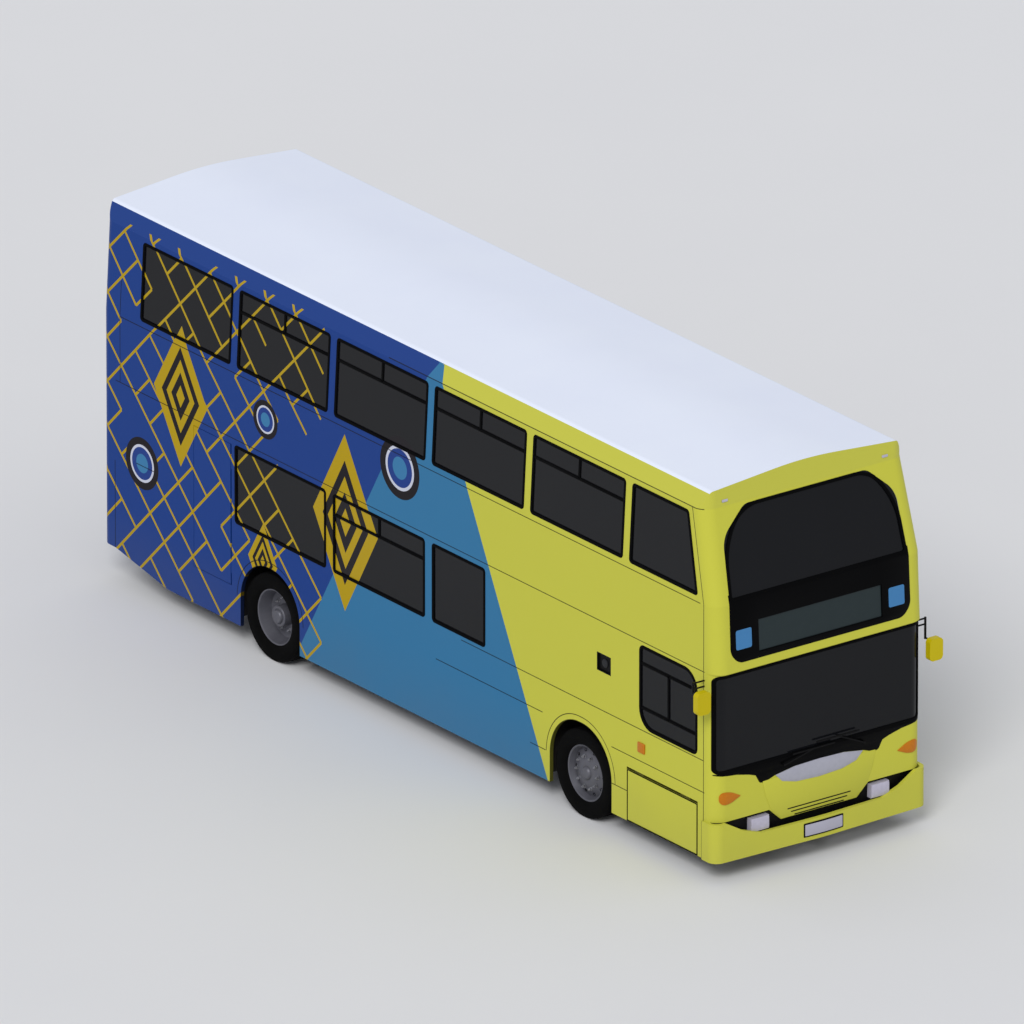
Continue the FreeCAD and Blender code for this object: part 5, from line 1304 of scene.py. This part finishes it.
    def lamps(self) -> None:
        """Build the indicators, the headlamp lenses and the marker lamps over the screen."""
        for index, hand in enumerate((-1, 1)):
            drop = [(across * hand, *rest) for across, *rest in self.drop]
            lens = FRONT.sheet(f"indicator_lens_{index}", drop, self.indicator_lens).finish(
                AMBER_LENS, "front_indicators")
            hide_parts("front_indicators")
        for index, hand in enumerate((-1, 1)):
            for skin, name, (across, *rest), gauge, slot in (
                    (FRONT_PLANE, "headlamp_lens", self.headlamp, self.headlamp_lens,
                     "headlamps"),
                    (FRONT, "marker_lamp", self.marker, self.marker_lens, "roof_panel")):
                skin.sheet(f"{name}_{index}", spot_corners(across * hand, *rest),
                           gauge).finish(LAMP_LENS, slot)

    def build(self) -> None:
        """Build every piece of the front."""
        self.screens()
        self.dark_bands()
        FRONT.sheet("nose_panel", self.nose, self.nose_sheet).finish(FRONT_PAINT, self.lower)
        self.badge()
        self.lamps()
        for index, (level, half) in enumerate(self.slots):
            FRONT.sheet(f"grille_slot_{index}", spot_corners(0.0, level, half, *self.slot),
                        self.slot_sheet).finish(BLACK_ABS, "intake_panel")
        for name, corners, gauge, finish in (
                ("front_plate", self.plate, self.plate_sheet, PLATE_ACRYLIC),
                ("front_plate_holder", self.holder, self.holder_sheet, BLACK_ABS)):
            BUMPER.sheet(name, box_corners(*corners), gauge).finish(finish, "front_bumper")


@dataclass
class Mirrors:
    """The glass in the backs of the two mirror heads."""

    glass: Gauge = Gauge(0.003, 4.8997, soft=0.001)
    reach: float = 1.41
    half: float = 0.07
    corner: float = 0.03
    levels: tuple[tuple[Side, float, float], ...] = ((Side.OFFSIDE, 1.82, 2.03),
                                                     (Side.NEARSIDE, 1.705, 1.915))

    def build(self) -> None:
        """Build both glasses, each a little proud of its shell."""
        for side, low, high in self.levels:
            tag = side.name.lower()
            middle = self.reach * side.value
            corners = box_corners(middle - self.half, middle + self.half, low, high, self.corner)
            REAR_PLANE.sheet(f"mirror_glass_{tag}", corners, self.glass).finish(MIRROR_GLASS,
                                                                                f"mirror_{tag}")


@dataclass
class Trim:
    """The locker flap's seal, the filler's black cup and cap, and the amber side marker."""

    filler: tuple[float, float, float, float] = (3.0695, 3.2945, 1.64, 1.83)
    filler_floor: float = -1.25
    filler_gap: float = 0.0005
    filler_wall: float = 0.008
    filler_depth: float = 0.02
    facing: float = 0.9
    cup_back: float = 0.0003
    cap_back: float = 0.005
    cap_sides: int = 32
    cap: Stations = ((0, 0.044), (0.008, 0.044), (0.011, 0.040), (0.013, 0.030), (0.013, 0.004))
    flap_top: float = 0.762
    flap_out: float = 0.003
    flap_foot: float = 0.002
    flap_corner: float = 0.02
    flap_seal: Gauge = Gauge(0.002, -FORM.half - 0.0005, 0.012, 0.0)
    marker: Corner = (3.734, 3.848, 1.0, 1.107, 0.012)
    marker_lens: Gauge = Gauge(0.012, -FORM.half, soft=0.004)

    def filler_cup(self) -> None:
        """Line the recess with a black cup and close it with a round cap."""
        left, right, low, high = self.filler
        gap = self.filler_gap
        cup = Workpiece.block("filler_cup", (left + gap, gap - FORM.half, low + gap),
                              (right - gap, self.filler_floor - self.cup_back, high - gap))
        with cup.edit():
            cup.pick(Element.FACE, lambda _, way: way.y < -self.facing)
            bpy.ops.mesh.inset(thickness=self.filler_wall, depth=0)
            bpy.ops.mesh.extrude_region_move(
                TRANSFORM_OT_translate={"value": (0, self.filler_depth, 0)})
        cup.finish(BLACK_ABS, "lower_side_offside")
        middle = ((left + right) / 2, self.filler_floor - self.cap_back, (low + high) / 2)
        Workpiece.turned("filler_cap", middle, (0, -1, 0), self.cap, self.cap_sides).finish(
            BODY_RUBBER, "lower_side_offside")

    def build(self) -> None:
        """Build the trim of the sides."""
        low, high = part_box("locker_flap")
        left, right, foot = low.x - self.flap_out, high.x + self.flap_out, low.z + self.flap_foot
        corners = ((left, foot), (right, foot), (right, self.flap_top, self.flap_corner),
                   (left, self.flap_top, self.flap_corner))
        OFFSIDE_PLANE.sheet("locker_flap_seal", corners, self.flap_seal).finish(
            GASKET_RUBBER, "locker_flap", "locker_flap")
        self.filler_cup()
        OFFSIDE_PLANE.sheet("side_marker_lamp", box_corners(*self.marker),
                            self.marker_lens).finish(AMBER_LENS, "front_indicators")


@dataclass
class Rear:
    """The tail: window gaskets, the engine door's louvres, a bare plate and reflectors."""

    gaskets: tuple[tuple[str, Corner], ...] = (
        ("upper", (-0.8795, 0.8795, 2.9205, 3.7395, 0.045)),
        ("lower", (-0.8195, 0.8195, 1.4005, 2.0595, 0.045)))
    gasket: Gauge = Gauge(0.012, GASKET_BACK, 0.034)
    plate: Corner = (-0.26, 0.26, 1.26, 1.37, 0.008)
    plate_sheet: Gauge = Gauge(0.004)
    reflector_sheet: Gauge = Gauge(0.006)
    lamp_sheet: Gauge = Gauge(0.010)
    lamp_reach: float = 1.08
    reflector: Corner = (0.66, 0.04, 0.04, 0.01)
    high_lamp: Corner = (2.635, 0.035, 0.035, 0.03)
    slat: Corner = (-0.62, 0.62, 0.60, 0.63)
    slat_stands: tuple[float, float] = (0.002, 0.012)
    slat_thickness: float = 0.004
    slat_pitch: float = 0.045
    slat_count: int = 11

    def louvres(self) -> None:
        """Build the slats of the engine door, one slat shaped and copied upwards."""
        middle = sum(self.slat[2:]) / 2
        first = Workpiece.outline("engine_louvres", Plane.FRONT, box_corners(*self.slat))
        first.form(lambda place: place + Vector((self.slat_stands[place.z > middle], 0, 0)))
        first.form(FORM.lay_rear).thicken(self.slat_thickness, BEHIND)
        slats = [first.copied(f"louvre_{index}",
                              Matrix.Translation((0, 0, self.slat_pitch * index)))
                 for index in range(1, self.slat_count)]
        first.joined(slats).finish(BLACK_ABS, "engine_door", "engine_door")

    def build(self) -> None:
        """Build every piece of the tail."""
        for deck, corners in self.gaskets:
            REAR.sheet(f"rear_{deck}_gasket", box_corners(*corners), self.gasket).finish(
                GASKET_RUBBER, f"glazing_{deck}")
        self.louvres()
        REAR.sheet("rear_plate", box_corners(*self.plate), self.plate_sheet).finish(
            PLATE_ACRYLIC, "rear_lower_panel")
        for index, middle in enumerate((-self.lamp_reach, self.lamp_reach)):
            for name, spot, gauge, finish in (
                    ("rear_reflector", self.reflector, self.reflector_sheet, RED_REFLECTOR),
                    ("high_lamp", self.high_lamp, self.lamp_sheet, RED_LENS)):
                REAR.sheet(f"{name}_{index}", spot_corners(middle, *spot), gauge).finish(
                    finish, "rear_lamps")


@dataclass
class Doors:
    """The rubber seals round the panes of the entrance doors."""

    leaves: tuple[str, ...] = ("rear", "front")
    thickness: float = 0.008
    width: float = 0.022
    soft: float = 0.002
    corner: float = 0.03
    gap: float = 0.0002

    def build(self) -> None:
        """Build a seal round the pane of each leaf."""
        for leaf in self.leaves:
            low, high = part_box(f"door_glass_{leaf}")
            corners = box_corners(low.x, high.x, low.z, high.z, self.corner, self.gap)
            seal = Gauge(self.thickness, high.y + self.gap, self.width, self.soft)
            NEARSIDE_PLANE.sheet(f"door_seal_{leaf}", corners, seal).finish(
                GASKET_RUBBER, f"door_glass_{leaf}", f"door_leaf_{leaf}")


@dataclass(frozen=True)
class SeatRun:
    """Rows of seats one behind the other: their node, their places and their counts."""

    node: str
    floor: float
    middle: float
    first: float
    pitch: float = 0.0
    rows: int = 1
    seats: int = 2

    def move(self, row: int, across: float = 0.0) -> Matrix:
        """The move from the origin to a row, or to a seat of it."""
        return Matrix.Translation((self.first + self.pitch * row, self.middle + across,
                                   self.floor))


@dataclass
class Seats:
    """The passengers' and driver's seats: padded cushions on moulded shells and steel legs.

    One place is shaped at the origin, facing forward, and copied along the rows. Its X starts at
    the foot of the backrest and its Z at the floor.
    """

    pad_width: float = 0.405
    place_pitch: float = 0.43
    row_inset: float = 0.02
    back_inset: float = 0.006
    back_lean: float = 0.08
    back_foot: float = 0.37
    back_height: float = 0.68
    voxel: float = 0.02
    pressure: float = 4.0
    swell_limit: float = 0.012
    frames: int = 20
    runs: tuple[SeatRun, ...] = (
        SeatRun("upper_seats", 2.245, 0.77, -4.62, 0.828182, 11),
        SeatRun("upper_seats", 2.245, -0.77, -4.62, 0.86, 7),
        SeatRun("upper_seats", 2.245, -0.77, 3.216),
        SeatRun("lower_seats", 0.33, 0.77, -1.39, 0.915, 4),
        SeatRun("lower_seats", 0.33, -0.77, -1.39, 0.86, 3),
        SeatRun("lower_seats", 1.02, 0.0, -4.73, seats=5),
        SeatRun("driver_seat", 0.33, -0.8275, 3.70, seats=1))
    cushion_x: tuple[float, float] = (0.075, 0.442)
    cushion_z: tuple[float, float] = (0.392, 0.440)
    back_x: tuple[float, float] = (0.022, 0.060)
    back_z: tuple[float, float] = (0.455, 0.955)
    pad_cuts: int = 3
    pad_bevel: float = 0.004
    pad_edge: float = 0.012
    pad_angle: float = math.radians(50)
    pad_smooth: float = 60.0
    shell_soft: float = 0.006
    leg: Gauge = Gauge(0.04, -0.02, soft=0.004)
    rail_sides: int = 12
    rail_places: tuple[float, float] = (0.12, 0.34)
    rail_height: float = 0.36
    rail_radius: float = 0.0125
    post_inset: float = 0.04
    post_foot: tuple[float, float] = (-0.060, 0.975)
    post: Stations = ((0, 0.009), (0.055, 0.009))
    post_way: tuple[float, float, float] = (-0.1, 0.0, 1.0)
    post_sides: int = 10
    handle_place: tuple[float, float] = (-0.066, 1.030)
    handle_radii: tuple[float, float] = (0.010, 0.014)
    handle_round: float = 0.004
    handle_sides: int = 14
    shell_side: tuple[Corner, ...] = (
        (-0.074, 0.985), (-0.062, 0.996), (-0.044, 0.985), (0.022, 0.440), (0.050, 0.388),
        (0.442, 0.388), (0.446, 0.378), (0.440, 0.370), (0.020, 0.370), (-0.004, 0.400))
    leg_side: tuple[Corner, ...] = (
        (0.125, 0.0), (0.325, 0.0), (0.325, 0.012), (0.262, 0.05), (0.250, 0.30),
        (0.325, 0.352), (0.125, 0.352), (0.200, 0.30), (0.188, 0.05), (0.125, 0.012))

    def pad(self, name: str, half: float, along: Corner, up: Corner) -> Workpiece:
        """Round a block into a pad and swell it with cloth under pressure.

        Args:
            name: The pad's name.
            half: Half the block's width.
            along: Its rear and its front.
            up: Its foot and its head.

        Returns:
            The pad.
        """
        pad = Workpiece.block(name, (along[0], -half, up[0]), (along[1], half, up[1]))
        with pad.edit(select=True):
            bpy.ops.mesh.subdivide(number_cuts=self.pad_cuts)
            bpy.ops.mesh.select_all(action="SELECT")
            bpy.ops.mesh.bevel(offset=self.pad_bevel, segments=1, affect="EDGES")
        pad.apply("BEVEL", width=self.pad_edge, segments=2, limit_method="ANGLE",
                  angle_limit=self.pad_angle)
        pad.apply("REMESH", mode="VOXEL", voxel_size=self.voxel)
        return self.swell(pad)

    def swell(self, pad: Workpiece) -> Workpiece:
        """Blow a pad up by cloth simulation, no point of it further than the limit.

        Args:
            pad: The pad.

        Returns:
            The same pad.
        """
        rest = [vertex.co.copy() for vertex in pad.item.data.vertices]
        cloth = pad.item.modifiers.new("Cloth", "CLOTH")
        cloth.settings.use_pressure = True
        cloth.settings.uniform_pressure_force = self.pressure
        cloth.settings.effector_weights.gravity = 0.0
        cloth.point_cache.frame_start = 1
        cloth.point_cache.frame_end = self.frames
        for number in range(1, self.frames + 1):
            bpy.context.scene.frame_set(number)
        focus(pad.item)
        bpy.ops.object.modifier_apply(modifier=cloth.name)
        bpy.context.scene.frame_set(1)
        for vertex, place in zip(pad.item.data.vertices, rest):
            move = vertex.co - place
            if move.length > self.swell_limit:
                vertex.co = place + move.normalized() * self.swell_limit
        return pad

    def lean(self, spot: Vector) -> Vector:
        """Lean a point of the backrest like its shell."""
        share = (spot.z - self.back_foot) / self.back_height
        return Vector((spot.x - self.back_lean * share, spot.y, spot.z))

    def legs(self, half: float) -> Workpiece:
        """Shape the pedestal and the rails under one row.

        Args:
            half: Half the row's width.

        Returns:
            The pedestal with its rails.
        """
        leg = NEARSIDE_PLANE.sheet("seat_leg", self.leg_side, self.leg)
        rail = ((0, self.rail_radius), (half * 2, self.rail_radius))
        return leg.joined([Workpiece.turned(f"seat_rail_{index}", (place, -half, self.rail_height),
                                            ACROSS, rail, self.rail_sides)
                           for index, place in enumerate(self.rail_places)])

    def handle(self, half: float) -> Workpiece:
        """Shape the handrail over the backrests of one row, on two short posts.

        Args:
            half: Half the row's width.

        Returns:
            The handrail with its posts.
        """
        along, up = self.post_foot
        reach = half - self.post_inset
        posts = [Workpiece.turned(f"seat_post_{index}", (along, place, up), self.post_way,
                                  self.post, self.post_sides)
                 for index, place in enumerate((-reach, reach))]
        along, up = self.handle_place
        thin, thick = self.handle_radii
        stations = ((0, thin), (self.handle_round, thick), (half * 2 - self.handle_round, thick),
                    (half * 2, thin))
        return Workpiece.turned("seat_handle", (along, -half, up), ACROSS, stations,
                                self.handle_sides).joined(posts)

    def build(self) -> None:
        """Shape the patterns and copy them to every place of the three nodes."""
        half = self.pad_width / 2
        inner = half - self.back_inset
        patterns = {
            "cushions": (self.pad("seat_pad", half, self.cushion_x, self.cushion_z), MOQUETTE),
            "backs": (self.pad("back_pad", inner, self.back_x, self.back_z).form(self.lean),
                      MOQUETTE),
            "shells": (NEARSIDE_PLANE.sheet("seat_shell", self.shell_side, Gauge(
                self.pad_width, -half, soft=self.shell_soft)), SEAT_SHELL)}
        for node in dict.fromkeys(run.node for run in self.runs):
            rows = [(run, row) for run in self.runs if run.node == node for row in range(run.rows)]
            for key, (pattern, finish) in patterns.items():
                copies = [pattern.copied(f"{node}_{key}_{index}", run.move(
                    row, (index - (run.seats - 1) / 2) * self.place_pitch))
                          for run, row in rows for index in range(run.seats)]
                soft = finish is MOQUETTE
                item = whole(f"{node}_{key}", copies).finish(
                    finish, node, smooth=self.pad_smooth if soft else SMOOTH)
                if soft:
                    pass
                else:
                    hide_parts(node)
            for key, shape, finish in (("frames", self.legs, SEAT_STEEL),
                                       ("handles", self.handle, POLE_COAT)):
                if (node, key) == ("driver_seat", "handles"):
                    continue
                parts = []
                for run, row in rows:
                    parts.append(shape(self.place_pitch * run.seats / 2 - self.row_inset))
                    parts[-1].item.data.transform(run.move(row))
                whole(f"{node}_{key}", parts).finish(finish, node)
        for pattern, _ in patterns.values():
            bpy.data.objects.remove(pattern.item)


@dataclass
class Wheels:
    """The dressed wheels: turned rims with their discs, nuts and hub caps, and grooved tyres.

    The sections are (place across, radius), and those of rims and tyres are closed lines.
    """

    centre_y: float = 1.1125
    centre_z: float = 0.456
    front_x: float = 2.81
    rear_x: float = -2.25
    twin: float = 0.31
    ring_count: int = 10
    nut_circle: float = 0.165
    nut_foot: float = 0.002
    nut_faces: tuple[float, float] = (0.074, -0.042)
    hole_spot: tuple[float, float, float] = (0.222, 0.0465, 0.0)
    hole_way: tuple[float, float, float] = (0.42, 1.0, 0.0)
    cap_feet: tuple[float, float] = (0.086, 0.064)
    tyre_sides: int = 72
    rim_sides: int = 64
    cap_sides: int = 40
    hole_sides: int = 16
    nut_sides: int = 6
    tyre_half: Stations = (
        (0.060, 0.456), (0.062, 0.444), (0.072, 0.444), (0.074, 0.456), (0.104, 0.4545),
        (0.122, 0.448), (0.131, 0.432), (0.1355, 0.410), (0.1375, 0.380), (0.135, 0.345),
        (0.127, 0.312), (0.112, 0.292), (0.103, 0.2865))
    tyre_groove: Stations = ((0.016, 0.456), (0.018, 0.444), (0.028, 0.444), (0.030, 0.456))
    lip: Stations = ((0.078, 0.266), (0.097, 0.272), (0.103, 0.280), (0.103, 0.286))
    front_rim: Stations = (
        (-0.103, 0.286), (-0.103, 0.274), (-0.085, 0.262), (0.028, 0.258), (0.040, 0.245),
        (0.050, 0.205), (0.066, 0.190), (0.076, 0.150), (0.082, 0.135), (0.088, 0.122),
        (0.088, 0.050), (-0.040, 0.050), (-0.040, 0.112), (0.058, 0.128), (0.044, 0.205),
        (0.034, 0.250), (0.054, 0.256))
    rear_rim: Stations = (
        (-0.413, 0.286), (-0.413, 0.070), (0.060, 0.070), (0.066, 0.078), (0.066, 0.100),
        (0.058, 0.108), (-0.036, 0.112), (-0.040, 0.130), (-0.044, 0.215), (-0.036, 0.240),
        (0.020, 0.254))
    nut: Stations = ((0.0, 0.021), (0.005, 0.021), (0.006, 0.0155), (0.024, 0.0155),
                     (0.026, 0.0125), (0.026, 0.009), (0.036, 0.009), (0.038, 0.006))
    hole: Stations = ((-0.006, 0.0165), (0.0035, 0.0165), (0.0045, 0.0145), (0.0010, 0.0125),
                      (-0.004, 0.0115))
    front_cap: Stations = ((0, 0.072), (0.010, 0.070), (0.026, 0.058), (0.032, 0.050),
                           (0.036, 0.030), (0.036, 0.006))
    rear_cap: Stations = ((0, 0.074), (0.012, 0.072), (0.024, 0.062), (0.026, 0.052),
                          (0.026, 0.006))

    def tyre(self) -> Workpiece:
        """Turn a tyre, its section drawn from the inner bead and round.

        Returns:
            The tyre about the origin.
        """
        outer = self.tyre_groove + self.tyre_half
        inner = [(-place, radius) for place, radius in
                 self.tyre_half[::-1] + self.tyre_groove[::-1]]
        section = [*inner, *outer, inner[0]]
        return Workpiece.turned("tyre_pattern", (0, 0, 0), ACROSS, section, self.tyre_sides,
                                closed=False)

    def rim(self, name: str, section: Stations) -> Workpiece:
        """Turn a rim, its section closed by the lip that both rims have."""
        return Workpiece.turned(name, (0, 0, 0), ACROSS, [*section, *self.lip, section[0]],
                                self.rim_sides, closed=False)

    def nuts(self, face: float) -> Workpiece:
        """Build the ring of wheel nuts on a face, given its place across."""
        return Workpiece.turned("wheel_nut", (self.nut_circle, face - self.nut_foot, 0), ACROSS,
                                self.nut, self.nut_sides).around(self.ring_count)

    def dress(self, tag: str, side: Side, axle_x: float, patterns: dict[str, Workpiece]) -> None:
        """Copy the patterns of a wheel to its place.

        Args:
            tag: "front" or "rear".
            side: The side of the bus.
            axle_x: The axle's place.
            patterns: The wheel's pieces about the origin, facing the kerb side.
        """
        hand = "left" if side is Side.NEARSIDE else "right"
        plural = "" if tag == "front" else "s"
        place = Matrix.Translation((axle_x, self.centre_y * side.value, self.centre_z))
        if side is Side.OFFSIDE:
            place = place @ Matrix.Rotation(math.pi, 4, "Z")
        # The black cups in the hand holes are painted shade, for the dark seen through the holes
        finishes = {"tyre": TYRE_RUBBER, "nuts": PLATED_STEEL, "holes": BLACK_ABS}
        for key, pattern in patterns.items():
            node = f"{tag}_tyre{plural}_{hand}" if key == "tyre" else f"{tag}_rim_{hand}"
            item = pattern.copied(f"{tag}_wheel_{key}_{hand}", place).finish(
                finishes.get(key, WHEEL_STEEL), node, f"{tag}_wheel{plural}_{hand}")
            if key in ("tyre", "rim"):
                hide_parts(node)

    def build(self) -> None:
        """Build the pieces of one front and one rear wheel and copy them to all four."""
        tyre = self.tyre()
        twin = tyre.copied("twin_pattern", Matrix.Identity(4)).joined(
            [tyre.copied("inner_tyre", Matrix.Translation((0, -self.twin, 0)))])
        # Black cups in the disc's hand holes: painted shade where the holes look dark
        holes = Workpiece.turned("hand_hole", self.hole_spot, self.hole_way, self.hole,
                                 self.hole_sides).around(self.ring_count)
        rims = [self.rim("rim_pattern", section) for section in (self.front_rim, self.rear_rim)]
        nuts = [self.nuts(face) for face in self.nut_faces]
        caps = [Workpiece.turned("cap_pattern", (0, foot, 0), ACROSS, cap, self.cap_sides)
                for foot, cap in zip(self.cap_feet, (self.front_cap, self.rear_cap))]
        front = {"tyre": tyre, "rim": rims[0], "nuts": nuts[0], "holes": holes, "cap": caps[0]}
        rear = {"tyre": twin, "rim": rims[1], "nuts": nuts[1], "cap": caps[1]}
        for side in Side:
            self.dress("front", side, self.front_x, front)
            self.dress("rear", side, self.rear_x, rear)
        for pattern in [*front.values(), *rear.values()]:
            bpy.data.objects.remove(pattern.item)


@dataclass
class CarriedNodes:
    """The solids that stay in view, each with the finish that its real surface has."""

    finishes: tuple[tuple[Finish, str], ...] = (
        (COACH_PAINT, "lower_side_offside lower_side_nearside entrance_frame upper_side_offside "
                      "upper_side_nearside front_upper_moulding front_lower_moulding "
                      "rear_upper_panel rear_lower_panel locker_flap engine_door emergency_door "
                      "door_leaf_rear door_leaf_front"),
        (BODY_GLASS, "windscreen_lower windscreen_upper glazing_lower glazing_upper "
                     "door_glass_rear door_glass_front"),
        (ROOF_COAT, "roof_panel"),
        (FRONT_PAINT, "front_bumper"),
        (CHASSIS_STEEL, "chassis_frame wheel_boxes door_arm_rear door_arm_front"),
        (FLOOR_VINYL, "lower_floor upper_floor"),
        (BLACK_ABS, "intake_panel destination_box wipers steering_wheel"),
        (DISPLAY_GLASS, "destination_screen"),
        (LAMP_LENS, "headlamps"),
        (AMBER_LENS, "front_indicators"),
        (RED_LENS, "rear_lamps"),
        (MIRROR_SHELL, "mirror_offside mirror_nearside"),
        (MOQUETTE, "lower_seats upper_seats driver_seat"),
        (CAB_LAMINATE, "staircase driver_cab"),
        (POLE_COAT, "grab_poles"),
        (CAST_IRON, "engine_block front_axle_beam rear_axle knuckle_left knuckle_right"),
        (WHEEL_STEEL, "front_rim_left front_rim_right rear_rim_left rear_rim_right"),
        (TYRE_RUBBER, "front_tyre_left front_tyre_right rear_tyres_left rear_tyres_right"))

    def build(self) -> None:
        """Assign each node's finish to its material slots."""
        left = set(NODES)
        for finish, names in self.finishes:
            for name in names.split():
                item = NODES[name]
                if not item.material_slots:
                    item.data.materials.append(finish.material())
                for slot in item.material_slots:
                    slot.material = finish.material()
                left.discard(name)
                LOG.info("%s: %s", name, finish.name)
        if left:
            LOG.warning("nodes without a finish: %s", sorted(left))


@dataclass
class Studio:
    """The floor, the soft light and the camera at the photograph's angle."""

    aim: tuple[float, float, float] = (0.0, 0.0, 1.994)
    azimuth: float = 53.14
    elevation: float = 21.76
    lens: float = 1300.0
    sensor: float = 36.0
    distance: float = 360.75
    floor_size: float = 240.0
    key_turn: tuple[float, float, float] = (49.0, 0.0, 40.5)
    key_energy: float = 1.55
    key_spread: float = 24.0
    fill: tuple[str, float] = ("#F2F4FA", 0.62)
    backdrop: tuple[str, float] = ("#EDEEF1", 0.95)

    def build(self) -> None:
        """Build the floor, the lamp, the world and the camera."""
        focus()
        bpy.ops.mesh.primitive_plane_add(size=self.floor_size, location=(0, 0, 0))
        floor = Workpiece.fresh("studio_floor")
        floor.item.data.materials.append(STUDIO_FLOOR.material())
        bpy.ops.object.light_add(type="SUN", rotation=[math.radians(turn) for turn in
                                                       self.key_turn])
        sun = bpy.context.object
        sun.name = "key_light"
        sun.data.energy = self.key_energy
        sun.data.angle = math.radians(self.key_spread)
        self.world()
        self.camera()
        bpy.context.scene.view_settings.view_transform = "Standard"

    def world(self) -> None:
        """Fill the studio with soft light, over a backdrop that only the camera sees."""
        world = bpy.context.scene.world or bpy.data.worlds.new("studio")
        bpy.context.scene.world = world
        world.use_nodes = True
        world.node_tree.nodes.clear()
        add = partial(add_node, world.node_tree)
        light, seen = [add("Background", linear(code), strength)
                       for code, strength in (self.fill, self.backdrop)]
        seen_by = add("LightPath").outputs["Is Camera Ray"]
        add("OutputWorld", add("MixShader", seen_by, light, seen))

    def camera(self) -> None:
        """Set the camera far off with a long lens, because the photograph has no perspective."""
        turn, rise = math.radians(self.azimuth), math.radians(self.elevation)
        back = Vector((math.sin(turn) * math.cos(rise), -math.cos(turn) * math.cos(rise),
                       math.sin(rise)))
        bpy.ops.object.camera_add(location=Vector(self.aim) + back * self.distance)
        camera = bpy.context.object
        camera.name = "photo_camera"
        camera.rotation_euler = (-back).to_track_quat("-Z", "Y").to_euler()
        camera.data.lens = self.lens
        camera.data.sensor_width = self.sensor
        camera.data.clip_start = 1.0
        camera.data.clip_end = self.distance * 3
        bpy.context.scene.camera = camera


def main() -> None:
    """Build the studio and the sub-assemblies in order, and report each piece."""
    logging.basicConfig(level=logging.INFO, format="%(name)s %(message)s")
    for assembly in (Studio(), CarriedNodes(), SideWindows(), FrontFace(), Wheels(), Mirrors(),
                     Trim(), Rear(), Doors(), Seats()):
        assembly.build()


if __name__ == "__main__":
    main()
